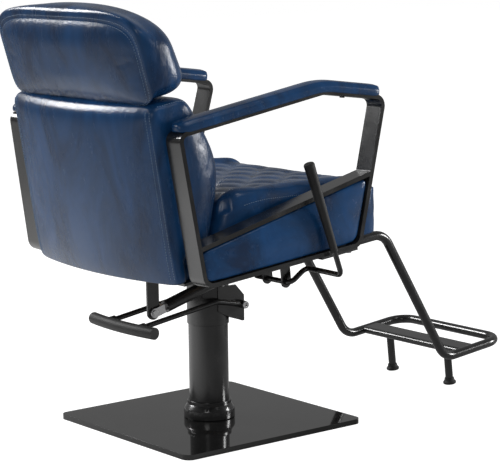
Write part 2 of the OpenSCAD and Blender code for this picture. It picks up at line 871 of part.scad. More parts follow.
module footrest_plate() {
  color(steel)
    pitched()
      difference() {
        translate([0, tread_y, tread_z]) {
          for (y = [-1, 1])
            translate([0, y * (tread_w - tread_t) / 2, 0])
              across(-socket_x, socket_x, tread_t / 2);
          translate([-socket_x, -(tread_w - tread_t) / 2, -tread_t / 2])
            cube([2 * socket_x, tread_w - tread_t, tread_t]);
        }
        both()
          translate([socket_x, 0, tread_z])
            rotate([90, 0, 0])
              cylinder(h = 900, d = footrest_d);
      }
}
leg_y = tread_y - 2;
foot_t = 7;
foot_z = (-frame_z + 2.2 + leg_y * sin(pitch)) / cos(pitch);
module footrest_legs() {
  color(steel)
    pitched()
      both()
        translate([leg_pitch / 2, leg_y, foot_z + foot_t])
          cylinder(h = tread_z - tread_t / 2 - foot_z - foot_t, d = leg_d);
}
module foot_pads() {
  color(rubber)
    pitched()
      both()
        translate([leg_pitch / 2, leg_y, foot_z])
          rotate_extrude()
            polygon([[0, 0], [foot_d / 2 - 1.5, 0], [foot_d / 2, 1.5], [foot_d / 2, foot_t - 2],
              [leg_d / 2 + 3, foot_t + 2], [leg_d / 2 + 2, foot_t + 8], [leg_d / 2, foot_t + 8],
              [leg_d / 2, foot_t], [0, foot_t]]);
}

// --- Gas spring between the seat mount and the recline arm ---

anchor = [-112, head_top + 12.5];
arm_pin = [pivot[0] - 3, pivot[1] - 120];
strut_v = arm_pin - anchor;
strut_len = norm(strut_v);
strut_tilt = atan2(strut_v[1], strut_v[0]);
module strut_frame() {
  translate([-strut_x, anchor[0], anchor[1]])
    rotate([strut_tilt, 0, 0])
      children();
}
ear_gap = 26;
ear_t = 5;
ear_r = 12;
module strut_anchor() {
  anchor_z = anchor[0] * sin(pitch) + (anchor[1] - frame_z) * cos(pitch);
  anchor_y = anchor[0] * cos(pitch) - (anchor[1] - frame_z) * sin(pitch);
  color(steel)
    difference() {
      pitched() {
        translate([-strut_x - ear_gap / 2 - ear_t, anchor_y - 20, plate_low - 5])
          cube([ear_gap + 2 * ear_t, 40, 5]);
        for (x = [-strut_x - ear_gap / 2 - ear_t, -strut_x + ear_gap / 2]) {
          translate([x, anchor_y - ear_r, anchor_z])
            cube([ear_t, 2 * ear_r, plate_low - anchor_z - 1]);
          translate([0, anchor_y, anchor_z])
            across(x, x + ear_t, ear_r);
        }
      }
      translate([0, anchor[0], anchor[1]])
        across(-strut_x - 30, -strut_x + 30, pin_d / 2);
    }
}
module anchor_pin() {
  color(silver)
    translate([-strut_x, anchor[0], anchor[1]]) {
      across(-ear_gap / 2 - ear_t - 1, ear_gap / 2 + ear_t, pin_d / 2 - 0.02);
      across(-ear_gap / 2 - ear_t - 3, -ear_gap / 2 - ear_t - gap, pin_d / 2 + 2);
    }
}
head_w = 24;
head_reach = 28;
tube_from = head_reach + 7 + 2 * recline_travel;
tube_len = strut_len - 34 - tube_from;
stroke_reach = 26;
module release_head() {
  color(steel)
    strut_frame()
      difference() {
        union() {
          across(-head_w / 2, head_w / 2, head_w / 2);
          translate([-head_w / 2, 0, -head_w / 2])
            cube([head_w, head_reach, head_w]);
        }
        across(-20, 20, pin_d / 2 + fit);
        translate([0, 13, 0])
          rotate([-90, 0, 0])
            cylinder(h = 20, d = strut_rod_d);
        translate([0, button_y, -head_w])
          cylinder(h = head_w, r = 3.6);
      }
}
button_y = 9.5;
module release_button() {
  color(silver)
    strut_frame()
      translate([0, button_y, -head_w / 2 - 6])
        cylinder(h = 12, r = 3.5);
}
module strut_rod() {
  color(silver)
    strut_frame()
      translate([0, 13.1, 0])
        rotate([-90, 0, 0]) {
          cylinder(h = tube_from + stroke_reach - 13, d = strut_rod_d - 0.04);
          translate([0, 0, tube_from + stroke_reach - 21])
            cylinder(h = 8, r = strut_d / 2 - 3 - fit);
        }
}
module strut_tube() {
  color(steel)
    strut_frame()
      translate([0, tube_from, 0])
        rotate([-90, 0, 0])
          difference() {
            cylinder(h = tube_len, d = strut_d);
            translate([0, 0, -1])
              cylinder(h = 14, r = strut_rod_d / 2 + fit);
            translate([0, 0, 12])
              cylinder(h = tube_len - 22, r = strut_d / 2 - 3);
          }
}
arm_t = 6;
clevis_w = 20;
module strut_clevis() {
  cheek = 5;
  half = arm_t / 2 + 1;
  color(silver)
    strut_frame()
      difference() {
        union() {
          for (x = [-half - cheek, half]) {
            translate([0, strut_len, 0])
              across(x, x + cheek, clevis_w / 2 + 1);
            translate([x, strut_len - 24, -clevis_w / 2])
              cube([cheek, 24, clevis_w]);
          }
          translate([-half - cheek, strut_len - 28, -clevis_w / 2])
            cube([2 * (half + cheek), 8, clevis_w]);
          translate([0, strut_len - 34, 0])
            rotate([-90, 0, 0])
              cylinder(h = 7, d = 17, $fn = 6);
        }
        translate([0, strut_len, 0])
          across(-30, 30, pin_d / 2);
      }
}
module clevis_pin() {
  reach = arm_t / 2 + 6;
  color(silver)
    strut_frame()
      translate([0, strut_len, 0]) {
        across(-reach - 0.4, reach + 2, pin_d / 2 - 0.02);
        across(-reach - 3, -reach - gap, pin_d / 2 + 2.5);
      }
}
module recline_arm() {
  slot = 8.5;
  arm_r = 15.5;
  top = [for (y = [arm_pin[0] + arm_r + 1, arm_pin[0] - arm_r + 1])
    meet([y, 0], [y, 1], leaned_pt(0, back_low - back_plate_t), leaned_pt(-50, back_low - back_plate_t))];
  color(steel)
    difference() {
      union() {
        side_extrude(-strut_x - arm_t / 2, -strut_x + arm_t / 2)
          polygon([top[0], top[1], [arm_pin[0] - arm_r, arm_pin[1]], [arm_pin[0] + arm_r, arm_pin[1]]]);
        translate([0, arm_pin[0], arm_pin[1]])
          across(-strut_x - arm_t / 2, -strut_x + arm_t / 2, arm_r);
      }
      for (z = [0, slot])
        translate([0, arm_pin[0], arm_pin[1] + z])
          across(-strut_x - 10, -strut_x + 10, pin_d / 2 + 0.6);
      translate([-strut_x - 10, arm_pin[0] - pin_d / 2 - 0.6, arm_pin[1]])
        cube([20, pin_d + 1.2, slot]);
    }
}

// --- Release lever ---

shaft = [-62, head_top - 25];
shaft_in = strut_x + 27;
shaft_out = board_half - 23;
lever_x = arm_x + 16;
bracket_x = [board_half - 104, board_half - 42];
bracket_t = 4;
bracket_hole = [for (x = [13, 51]) [-bracket_x[0] - x, strap_at[0] + 18]];
module lever_bracket() {
  shaft_pz = shaft[0] * sin(pitch) + (shaft[1] - frame_z) * cos(pitch);
  shaft_py = shaft[0] * cos(pitch) - (shaft[1] - frame_z) * sin(pitch);
  color(steel)
    difference() {
      pitched() {
        translate([-bracket_x[1] - bracket_t, strap_at[0] + 4, plate_low])
          cube([bracket_x[1] - bracket_x[0] + 2 * bracket_t, shaft_py - strap_at[0] + 8, mount_t]);
        for (x = [-bracket_x[1] - bracket_t, -bracket_x[0]]) {
          translate([x, shaft_py - 14, shaft_pz])
            cube([bracket_t, 26, plate_low - shaft_pz + 1]);
          translate([0, shaft_py, shaft_pz])
            across(x, x + bracket_t, 13);
        }
      }
      translate([0, shaft[0], shaft[1]])
        across(-250, -100, lever_d / 2 + fit);
      pitched()
        for (q = bracket_hole)
          translate([q[0], q[1], 0])
            cylinder(h = 30, d = 6.4);
    }
}
module bracket_bolts() {
  color(steel)
    pitched()
      for (q = bracket_hole)
        translate([q[0], q[1], plate_low - 4]) {
          cylinder(h = 4, d = 11, $fn = 6);
          cylinder(h = mount_t + frame_t + 14, d = 6);
        }
}
lever_bend = [-lever_x, shaft[0] - 32, shaft[1] + 31.5];
grip_top = [-lever_x, shaft[0] + 59.5, shaft[1] + 285];
grip_foot = lever_bend + (grip_top - lever_bend) * 0.22;
module release_lever() {
  color(steel) {
    bent_bar([
      [-shaft_in, shaft[0], shaft[1]],
      [-shaft_out, shaft[0], shaft[1]],
      [-shaft_out - 2, shaft[0] - 42, shaft[1] + 30],
      lever_bend,
      grip_foot + unit(grip_top - grip_foot) * 30], 15, lever_d);
    bar([-shaft_in - 5, shaft[0], shaft[1]],
      [-strut_x + 2, anchor[0] + 2, anchor[1] - 27.5], 8);
  }
}
module lever_grip() {
  v = grip_top - grip_foot;
  color(rubber)
    translate(grip_foot)
      rotate([0, acos(v[2] / norm(v)), atan2(v[1], v[0])])
        rotate_extrude()
          polygon([[lever_d / 2 + 0.03, 0], [lever_d / 2 + 2, 0],
            [lever_grip_d / 2, norm(v) - 4], [lever_grip_d / 2 - 1.5, norm(v) - 1],
            [lever_grip_d / 2 - 4, norm(v)], [0, norm(v)], [0, 30.1], [lever_d / 2 + 0.03, 30.1]]);
}

// --- Foot pedal ---

crown_pt = [19.5, pedal_z + 15];
handle = [245, pedal_z - 19];
grip_half = 118;
grip_bow = 701;
pedal_reach = handle[0];
module handle_arc(half, d) {
  turn = asin(half / grip_bow);
  translate([0, handle[0] - grip_bow, handle[1]])
    rotate([0, 0, 90 - turn])
      rotate_extrude(angle = 2 * turn, $fn = 720)
        translate([grip_bow, 0])
          circle(d = d, $fn = 32);
}
module pedal_frame() {
  color(steel)
    difference() {
      union() {
        both() {
          bent_bar([[pedal_x, pedal_y, pedal_z], [pedal_x, crown_pt[0], crown_pt[1]],
            [pedal_x, pedal_reach, handle[1]]], 60, pedal_d);
          translate([0, pedal_y, pedal_z])
            across(pedal_x - boss_half, pedal_x + boss_half, 9);
        }
        handle_arc(pedal_x, pedal_d - 0.5);
      }
      translate([0, pedal_y, pedal_z])
        across(-100, 100, pin_d / 2 + fit);
    }
}
module pedal_grip() {
  bend_pt = [pedal_x, crown_pt[0], crown_pt[1]];
  end_pt = [pedal_x, pedal_reach, handle[1]];
  color(rubber)
    difference() {
      union() {
        handle_arc(grip_half, pedal_grip_d);
        both()
          bar([pedal_x, pedal_reach - 26, handle[1] + 20 * (crown_pt[1] - handle[1]) / (pedal_reach - crown_pt[0])],
            [pedal_x, pedal_reach, handle[1]], pedal_d + 8);
      }
      handle_arc(pedal_x + pedal_d / 2, pedal_d - 0.2);
      both()
        bar(bend_pt, end_pt + unit(end_pt - bend_pt), pedal_d + 0.3);
    }
}

// --- Backrest ---

back_low = -4;
back_plate_t = 6;
layer_in = -33;
layer_out = -13;
upright_x = 190;
tube_w = 20;
module back_frame() {
  color(steel)
    leaned()
      difference() {
        union() {
          translate([-lug_x - lug_t, -78, back_low - back_plate_t])
            cube([2 * (lug_x + lug_t), 78 + layer_out, back_plate_t]);
          both() {
            translate([lug_x, pivot_t - hinge_r, back_low - 1])
              cube([lug_t, 2 * hinge_r, pivot_s - back_low + 1]);
            translate([0, pivot_t, pivot_s])
              across(lug_x, lug_x + lug_t, hinge_r);
            translate([upright_x, layer_in, back_low - 1])
              cube([tube_w, tube_w, back_h - 27]);
            translate([post_x, post_t, guide_low])
              cylinder(h = guide_top - guide_low, r = post_d / 2 + 2.5);
          }
          for (s = [guide_low, back_h - 50])
            translate([-upright_x, layer_in, s])
              cube([2 * upright_x, tube_w, tube_w]);
        }
        both() {
          translate([0, pivot_t, pivot_s])
            across(lug_x - 5, lug_x + lug_t + 5, hinge_pin_d / 2 + fit);
          translate([post_x, post_t, guide_low - 1])
            cylinder(h = guide_top - guide_low + 2, r = post_d / 2 + fit);
        }
      }
}
post_x = 70;
post_t = (layer_in + layer_out) / 2;
guide_low = 180;
guide_top = back_h - 26;
back_top = back_low + back_h;
// Front surface of the backrest: bulges at the lumbar, rolls in at the top
function lumbar(s) = let (f = (s - back_low) / back_h)
  -back_t * (0.55 + 0.45 * exp(-pow((f - 0.6) / 0.35, 2)));
function back_ring(k, share) = [
  for (q = soft_square(16, 12))
    let (s = back_low + back_h / 2 + q[1] * k * back_h / 2)
    [-q[0] * k * back_w / 2, layer_out + gap / 2 + share * (lumbar(s) - layer_out), s]];
module back_cushion() {
  color(leather)
    leaned()
      difference() {
        skin([for (q = [[0.12, 1.0], [0.3, 0.995], [0.5, 0.985], [0.68, 0.97], [0.82, 0.95],
            [0.91, 0.91], [0.965, 0.83], [0.993, 0.7], [1, 0.5], [1, 0.25], [0.995, 0.0]])
            back_ring(q[0], q[1])]);
        translate([-upright_x - tube_w - 2, layer_in - gap, back_low - 10])
          cube([2 * (upright_x + tube_w + 2), 60, back_h - 11]);
        both() {
          translate([lug_x - 6, -back_t - 20, back_low - 10])
            cube([60, back_t + 4, pivot_s + hinge_r - back_low + 13]);
          translate([post_x, post_t, guide_low])
            cylinder(h = back_h, r = post_d / 2 + 0.5);
        }
      }
}
function panel_out(x, s) =
  let (u = abs(x) / (back_w / 2), v = abs(s - back_low - back_h / 2) / (back_h / 2))
  16 + back_bow * (1 - u * u) - 10 * pow(v, 8) - 3 * pow(u, 10);
function panel_ring(k, share) = [
  for (q = soft_square(14, 14))
    let (s = back_low + back_h / 2 + q[1] * k * back_h / 2, x = -q[0] * k * back_w / 2)
    [x, layer_out + gap + share * (panel_out(x, s) - layer_out), s]];
module back_panel() {
  color(leather)
    leaned()
      skin([for (q = [[1, 0.0], [1.004, 0.55], [0.99, 0.85], [0.96, 0.95], [0.88, 1], [0.76, 1], [0.62, 1],
        [0.46, 1], [0.3, 1], [0.14, 1]])
        panel_ring(q[0], q[1])]);
}

// --- Headrest ---

headrest_gap = 3;
headrest_low = back_top + headrest_gap;
headrest_t = 118;
head_lean = 24;
post_reach = headrest_travel + 130;
post_in = 84;
module headrest_posts() {
  color(silver)
    leaned()
      both()
        translate([post_x, post_t, headrest_low - post_reach])
          cylinder(h = post_reach + post_in, d = post_d);
}
// Rear and front surfaces of the headrest: it leans back a little and is deepest low down
function nape(v) = 8 + head_lean * v;
function brow(v) = -headrest_t + 52 * v + 24 * pow(max(0, 0.25 - v) / 0.25, 2) + 8 * pow(v, 6);
// One ring of the headrest: k of its outline, share of the way from the rear surface to the front one
function head_ring(k, share) = [
  for (q = soft_square(14, 2.4, 8))
    let (v = (1 + q[1] * k) / 2, t = nape(v))
    [-q[0] * k * headrest_w / 2 * (1 - 0.06 * pow(max(0, -q[1]), 6)),
     t + share * (brow(v) - t), headrest_low + headrest_h * v]];
module headrest_cushion() {
  color(leather)
    leaned()
      difference() {
        skin([for (q = [[0.1, 1.1], [0.28, 1.09], [0.46, 1.07], [0.62, 1.03], [0.76, 0.97], [0.87, 0.88],
          [0.95, 0.75], [0.99, 0.6], [1, 0.45], [1, 0.28], [0.985, 0.12], [0.95, 0.04], [0.87, 0],
          [0.66, -0.02], [0.4, -0.03], [0.14, -0.03]])
          head_ring(q[0], q[1])]);
        both()
          translate([post_x, post_t, headrest_low - 10])
            cylinder(h = post_in + 10, d = post_d + 0.1);
      }
}

// --- Nodes ---

base_plate();
base_screws();
rod_screw();
column_tube();
base_collar();
piston_rod();
guide_bush();
pump_cylinder();
cylinder_gland();
pump_head();
pedal_bracket();
pedal_bolts();
seat_mount();
mount_bolts();
seat_frame();
seat_board();
seat_cushion();
mirror([1, 0, 0]) side_panel();  // side_panel_right
side_panel();  // side_panel_left
mirror([1, 0, 0]) arm_frame();  // arm_frame_right
arm_frame();  // arm_frame_left
mirror([1, 0, 0]) arm_pad();  // arm_pad_right
arm_pad();  // arm_pad_left
pad_screws();
hinge_plates();
hinge_pins();
footrest_sockets();
footrest_bolts();
footrest_frame();
footrest_plate();
footrest_legs();
foot_pads();
lever_bracket();
bracket_bolts();
strut_anchor();
anchor_pin();
back_frame();
back_cushion();
back_panel();
recline_arm();
headrest_posts();
headrest_cushion();
strut_rod();
release_head();
release_button();
strut_tube();
strut_clevis();
clevis_pin();
release_lever();
lever_grip();
pedal_frame();
pedal_grip();
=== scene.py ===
# %% [markdown]
# # A hydraulic salon chair
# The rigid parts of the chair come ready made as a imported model: a square base, a hydraulic column,
# two arm frames of flat bar, a footrest of bent tube, a gas spring and two levers. This script dresses
# it: it gives the steel its paint and its soft edges, and it makes the upholstery, which the model
# only holds as plain blocks. Everything is in metres, in the model's own frame: +Y is behind the
# sitter, -Y in front, Z is up.

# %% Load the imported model
import json
import math
import bpy
import bmesh
from mathutils import Matrix, Vector


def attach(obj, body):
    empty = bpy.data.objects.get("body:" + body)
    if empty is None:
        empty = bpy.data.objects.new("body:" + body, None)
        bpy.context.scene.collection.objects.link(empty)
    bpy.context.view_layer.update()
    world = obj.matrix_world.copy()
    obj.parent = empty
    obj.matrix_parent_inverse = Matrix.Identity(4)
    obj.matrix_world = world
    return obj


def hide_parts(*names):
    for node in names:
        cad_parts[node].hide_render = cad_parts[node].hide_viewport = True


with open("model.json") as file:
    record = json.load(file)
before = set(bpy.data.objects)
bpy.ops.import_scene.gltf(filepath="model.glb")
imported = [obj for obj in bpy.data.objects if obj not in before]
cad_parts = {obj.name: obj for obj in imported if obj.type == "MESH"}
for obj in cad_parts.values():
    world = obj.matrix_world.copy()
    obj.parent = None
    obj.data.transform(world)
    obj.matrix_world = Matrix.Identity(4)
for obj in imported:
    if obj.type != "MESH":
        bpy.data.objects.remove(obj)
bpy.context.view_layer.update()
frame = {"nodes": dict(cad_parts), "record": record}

# %% [markdown]
# ## Helpers for modelling
# An operator works on whatever is selected, so each step starts from a clean selection. The backrest
# leans and the seat rises to the front, so two small functions turn a place on the backrest or on
# the arm frames into a place in the room, as a drawing of the chair would give it.

# %% Selecting and leaning
LEAN = math.radians(9.2)
PITCH = math.radians(6.1)
BACK_ORIGIN = Vector((0, 0.268, 0.38996))
FRAME_Z = 0.413
ARM_X, ARM_TILT, ARM_TOE, BAR_W = 0.344, math.radians(2.2), math.radians(0.9), 0.050


def only(piece):
    bpy.ops.object.select_all(action="DESELECT")
    piece.hide_set(False)
    piece.select_set(True)
    bpy.context.view_layer.objects.active = piece


def point_outwards(piece):
    """Turns every face of a closed piece outwards."""
    only(piece)
    bpy.ops.object.mode_set(mode="EDIT")
    bpy.ops.mesh.select_all(action="SELECT")
    bpy.ops.mesh.normals_make_consistent(inside=False)
    bpy.ops.object.mode_set(mode="OBJECT")


def on_back(x, t, s):
    """x across, t rearwards and s up along the leaning backrest, in millimetres."""
    y = t * math.cos(LEAN) + s * math.sin(LEAN)
    z = -t * math.sin(LEAN) + s * math.cos(LEAN)
    return BACK_ORIGIN + Vector((x, y, z)) / 1000


pitched = Matrix.Translation((0, 0, FRAME_Z)) @ Matrix.Rotation(-PITCH, 4, "X")
arm_plane = (pitched @ Matrix.Translation((ARM_X, 0, BAR_W * math.sin(ARM_TILT)))
             @ Matrix.Rotation(ARM_TOE, 4, "Z") @ Matrix.Rotation(-ARM_TILT, 4, "Y"))


def on_arm(x, y, z, side):
    """A place in the plane of an arm frame, in millimetres; side is 1 for the left arm, -1 for the right."""
    p = arm_plane @ (Vector((x, y, z)) / 1000)
    return Vector((p.x * side, p.y, p.z))


print("arm plane starts at", [round(v, 3) for v in on_arm(0, 0, 0, 1)])

# %% [markdown]
# ## Padded pieces
# A cushion is foam in a sewn cover: panels meet at seams, and between the seams the cover swells.
# Each one starts as a cube that is cut into a grid on every side. Its points are then moved to the
# outline that the pattern cutter drew, so that the edges of the grid run along the seams. Sculpting
# would also work, but a grid keeps the seams where they can be found again. Each point keeps its
# first place, from -1 to 1 each way, as its address in the grid.

# %% A cube with a grid on every side
RIM, FACE = 0.9999, 0.999


def grid_block(name, cuts, place):
    """A cube cut into a grid, with place(a, b, c) giving each grid point its place in the room."""
    bpy.ops.object.select_all(action="DESELECT")
    bpy.ops.mesh.primitive_cube_add(size=2)
    piece = bpy.context.object
    piece.name = piece.data.name = name
    for axis, n in enumerate(cuts):
        bpy.ops.object.mode_set(mode="EDIT")
        bpy.ops.mesh.select_mode(type="EDGE")
        bpy.ops.mesh.select_all(action="DESELECT")
        bm = bmesh.from_edit_mesh(piece.data)
        for e in bm.edges:
            e.select_set(abs(e.verts[0].co[axis] - e.verts[1].co[axis]) > 1e-4)
        bmesh.update_edit_mesh(piece.data)
        bpy.ops.mesh.subdivide(number_cuts=n - 1)
        bpy.ops.object.mode_set(mode="OBJECT")
    grid = piece.data.attributes.new("grid", "FLOAT_VECTOR", "POINT")
    for v in piece.data.vertices:
        grid.data[v.index].vector = v.co
        v.co = place(*v.co)
    point_outwards(piece)
    return piece


def on_rim(a, b):
    """True on the four sides of the block, false inside its two large panels."""
    return max(abs(a), abs(b)) > RIM


def on_ring(c_level):
    """A test for the seam round one of the large panels: c_level is -1 or 1."""
    return lambda a, b, c: on_rim(a, b) and abs(c - c_level) < 1e-3


def either(*tests):
    return lambda a, b, c: any(test(a, b, c) for test in tests)


def rounded_square(a, b, top, low):
    """A point of the square from -1 to 1, drawn in at the corners; the higher the power, the sharper."""
    k = max(abs(a), abs(b))
    if k < 1e-6:
        return 0.0, 0.0
    p, q = a / k, b / k
    n = top if q > 0 else low
    soft = (abs(p) ** n + abs(q) ** n) ** (1 / n)
    return k * p / soft, k * q / soft


def along(stations, w):
    """The row of numbers at w, drawn straight between rows that each start with their own w."""
    if w <= stations[0][0]:
        return stations[0][1:]
    for low, high in zip(stations, stations[1:]):
        if w <= high[0]:
            f = (w - low[0]) / (high[0] - low[0])
            return [p + (q - p) * f for p, q in zip(low[1:], high[1:])]
    return stations[-1][1:]


print("a sharp corner comes in to", [round(v, 3) for v in rounded_square(1, 1, 12, 12)])

# %% [markdown]
# ## Swelling
# Foam pushes its cover out between the seams. A cloth simulation with a little pressure gives that
# curve for nothing, held at the seams, and a cap keeps the cover inside its space. It is applied at
# once, so the finished piece is a plain mesh.

# %% Swelling a cover between its seams
CLOTH_FRAMES, CLOTH_STIFFNESS, SEAM_CREASE = 18, 15.0, 0.7


def swell(piece, held, pressure, cap, slack):
    """Cloth with pressure inside; held(grid point) is true on the seams, which stay."""
    grid = piece.data.attributes["grid"].data
    before = [v.co.copy() for v in piece.data.vertices]
    pins = piece.vertex_groups.new(name="seams")
    pins.add([v.index for v in piece.data.vertices if held(*grid[v.index].vector)], 1.0, "REPLACE")
    only(piece)
    cloth = piece.modifiers.new("Cover", "CLOTH")
    cloth.settings.quality = 6
    cloth.settings.mass = 0.3
    cloth.settings.tension_stiffness = cloth.settings.compression_stiffness = CLOTH_STIFFNESS
    cloth.settings.shear_stiffness = CLOTH_STIFFNESS / 2
    cloth.settings.bending_stiffness = 0.6
    cloth.settings.air_damping = 4
    cloth.settings.use_pressure = True
    cloth.settings.uniform_pressure_force = pressure
    cloth.settings.vertex_group_mass = "seams"
    cloth.settings.shrink_min = -slack
    cloth.settings.effector_weights.gravity = 0
    cloth.collision_settings.use_collision = False
    for f in range(1, CLOTH_FRAMES + 1):
        bpy.context.scene.frame_set(f)
    bpy.ops.object.modifier_apply(modifier="Cover")
    bpy.context.scene.frame_set(1)
    moved = 0
    for v, old in zip(piece.data.vertices, before):
        step = v.co - old
        moved = max(moved, step.length)
        if step.length > cap:
            v.co = old + step * (cap / step.length)
    print(piece.name, "swelled by up to", round(moved * 1000, 1), "mm, capped at", cap * 1000)


def seam_creases(piece, on_seam):
    """Marks the edges that lie on a seam, so that a subdivision keeps them as a fold."""
    grid = piece.data.attributes["grid"].data
    crease = piece.data.attributes.new("crease_edge", "FLOAT", "EDGE")
    for e in piece.data.edges:
        p, q = (grid[i].vector for i in e.vertices)
        if on_seam(*p) and on_seam(*q):
            crease.data[e.index].value = SEAM_CREASE


def write_layer(piece, name, share):
    """Writes share(grid point), from 0 to 1, for the material: where the cover is tight or creased."""
    grid = piece.data.attributes["grid"].data
    layer = piece.data.attributes.new(name, "FLOAT", "POINT")
    for i, point in enumerate(grid):
        layer.data[i].value = min(1.0, max(0.0, share(*point.vector)))


def finish_pad(piece, body, slot, fill, *nodes, levels=1):
    """Smooths a cover and says which body it rides and which plain blocks it stands for."""
    only(piece)
    sub = piece.modifiers.new("Smooth", "SUBSURF")
    sub.levels = sub.render_levels = levels
    bpy.ops.object.modifier_apply(modifier="Smooth")
    bpy.ops.object.shade_smooth()
    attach(piece, body)
    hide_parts(*nodes)
    print(piece.name, len(piece.data.polygons), "faces")


print("each cover swells for", CLOTH_FRAMES, "frames")

# %% [markdown]
# ## Camera
# The camera stands behind the chair's right side, a little higher than the headrest, and looks down
# by about nine degrees. Its lens is long, so that the lines of the chair hardly run together.

# %% Camera
CAMERA_AT = (-3.5747, 2.7028, 1.1483)
PICTURE_RIGHT, PICTURE_UP = (-0.6220, -0.7829, -0.0121), (0.1143, -0.1060, 0.9878)
LENS, SENSOR_W, FAR_LIMIT = 143.03, 36, 60

camera = bpy.data.objects.new("camera", bpy.data.cameras.new("camera"))
bpy.context.scene.collection.objects.link(camera)
right = Vector(PICTURE_RIGHT)
back = right.cross(Vector(PICTURE_UP)).normalized()
up = back.cross(right).normalized()
turn = Matrix((right.normalized(), up, back)).transposed().to_4x4()
camera.matrix_world = Matrix.Translation(CAMERA_AT) @ turn
camera.data.sensor_fit = "HORIZONTAL"
camera.data.sensor_width = SENSOR_W
camera.data.lens = LENS
camera.data.clip_end = FAR_LIMIT
bpy.context.scene.camera = camera
bpy.context.scene.view_settings.view_transform = "Standard"
print("camera looks along", [round(-v, 3) for v in back])

# %% [markdown]
# ## Nodes by name
# A material is a small machine of nodes. Adding each one by name, with its settings and the sockets
# that feed it in one line, keeps that machine readable as text.

# %% Nodes by name
def add_node(tree, kind, inputs=None, **settings):
    n = tree.nodes.new(kind)
    for key, value in settings.items():
        setattr(n, key, value)
    for key, value in (inputs or {}).items():
        if isinstance(value, bpy.types.NodeSocket):
            tree.links.new(value, n.inputs[key])
        else:
            n.inputs[key].default_value = value
    return n


def maths(tree, operation, *values):
    return add_node(tree, "ShaderNodeMath", dict(enumerate(values)), operation=operation).outputs[0]


def vector_maths(tree, operation, a, b):
    """DISTANCE and DOT_PRODUCT give one number; the others give a vector."""
    n = add_node(tree, "ShaderNodeVectorMath", {0: a, 1: b}, operation=operation)
    return n.outputs["Value" if operation in ("DISTANCE", "DOT_PRODUCT") else "Vector"]


def object_place(tree):
    return add_node(tree, "ShaderNodeTexCoord").outputs["Object"]


def noise(tree, place, scale, detail, **more):
    inputs = {"Vector": place, "Scale": scale, "Detail": detail, **more}
    return add_node(tree, "ShaderNodeTexNoise", inputs).outputs["Fac"]


def blend(tree, share, under, over):
    """Mixes two colours; 6, 7 and 2 are the places of the node's colour sockets."""
    return add_node(tree, "ShaderNodeMix", {"Factor": share, 6: under, 7: over}, data_type="RGBA").outputs[2]


def ramp(tree, fac, *stops):
    """A colour ramp; each stop is a place and a grey value or a colour."""
    n = add_node(tree, "ShaderNodeValToRGB", {"Fac": fac})
    while len(n.color_ramp.elements) < len(stops):
        n.color_ramp.elements.new(0.5)
    for element, (place, colour) in zip(n.color_ramp.elements, stops):
        element.position = place
        grey = not hasattr(colour, "__len__")
        element.color = (colour,) * 3 + (1,) if grey else tuple(colour) + (1,)
    return n.outputs["Color"]


def blank_material(name):
    m = bpy.data.materials.new(name)
    m.use_nodes = True
    m.node_tree.nodes.clear()
    return m, m.node_tree


print("materials before the finishes:", len(bpy.data.materials))

# %% [markdown]
# ## Floor and light
# A white sweep: the floor itself is grey in the light but is drawn almost white, with the chair's
# faint shadow left on it. Four lamps stand for softboxes: a strong one high on the chair's left, one
# low in front of its right side, a weak one above, and one behind the camera. Glossy leather and
# paint show their shapes as highlights, so the lamps are large and few, and the walls that the
# paint mirrors stay dark.

# %% White floor
FLOOR_SIZE, FLOOR_GREY, FLOOR_GLOW = 30, 0.42, 0.93
# The floor glows brighter for glossy rays only, in a patch behind the chair's left side towards the high
# lamp: a painted glow, which the glossy paint mirrors
LIT_SPOT, LIT_SCALE, LIT_STRENGTH = (0.7, 0.85, 0), 0.25, 0.98
WHITE = (1, 1, 1, 1)

bpy.ops.object.select_all(action="DESELECT")
bpy.ops.mesh.primitive_plane_add(size=FLOOR_SIZE, location=(0, 0, 0))
floor = bpy.context.object
floor.name = "floor"
bpy.ops.object.mode_set(mode="EDIT")
bpy.ops.mesh.subdivide(number_cuts=3)
bpy.ops.object.mode_set(mode="OBJECT")
sweep, t = blank_material("white_sweep")
path = add_node(t, "ShaderNodeLightPath")
from_spot = vector_maths(t, "DISTANCE", object_place(t), LIT_SPOT)
patch = ramp(t, maths(t, "MULTIPLY", from_spot, LIT_SCALE), (0.12, 1.0), (0.34, 0.04))
painted_glow = maths(t, "MULTIPLY", patch, LIT_STRENGTH)
# Painted glow: this patch of floor shines only in reflections
in_paint = maths(t, "MULTIPLY", path.outputs["Is Glossy Ray"], painted_glow)
seen = maths(t, "MAXIMUM", path.outputs["Is Camera Ray"], in_paint)
seen = maths(t, "MAXIMUM", seen, path.outputs["Is Transmission Ray"])
paper = add_node(t, "ShaderNodeBsdfDiffuse", {"Color": (FLOOR_GREY, FLOOR_GREY, FLOOR_GREY, 1)})
glow = add_node(t, "ShaderNodeEmission", {"Color": WHITE, "Strength": maths(t, "MULTIPLY", seen, FLOOR_GLOW)})
both = add_node(t, "ShaderNodeAddShader", {0: paper.outputs[0], 1: glow.outputs[0]})
add_node(t, "ShaderNodeOutputMaterial", {"Surface": both.outputs[0]})
floor.data.materials.append(sweep)
print("floor:", [round(v, 1) for v in floor.dimensions])

# %% World
FAR_WALL = (0.76, -0.60, 0.10)

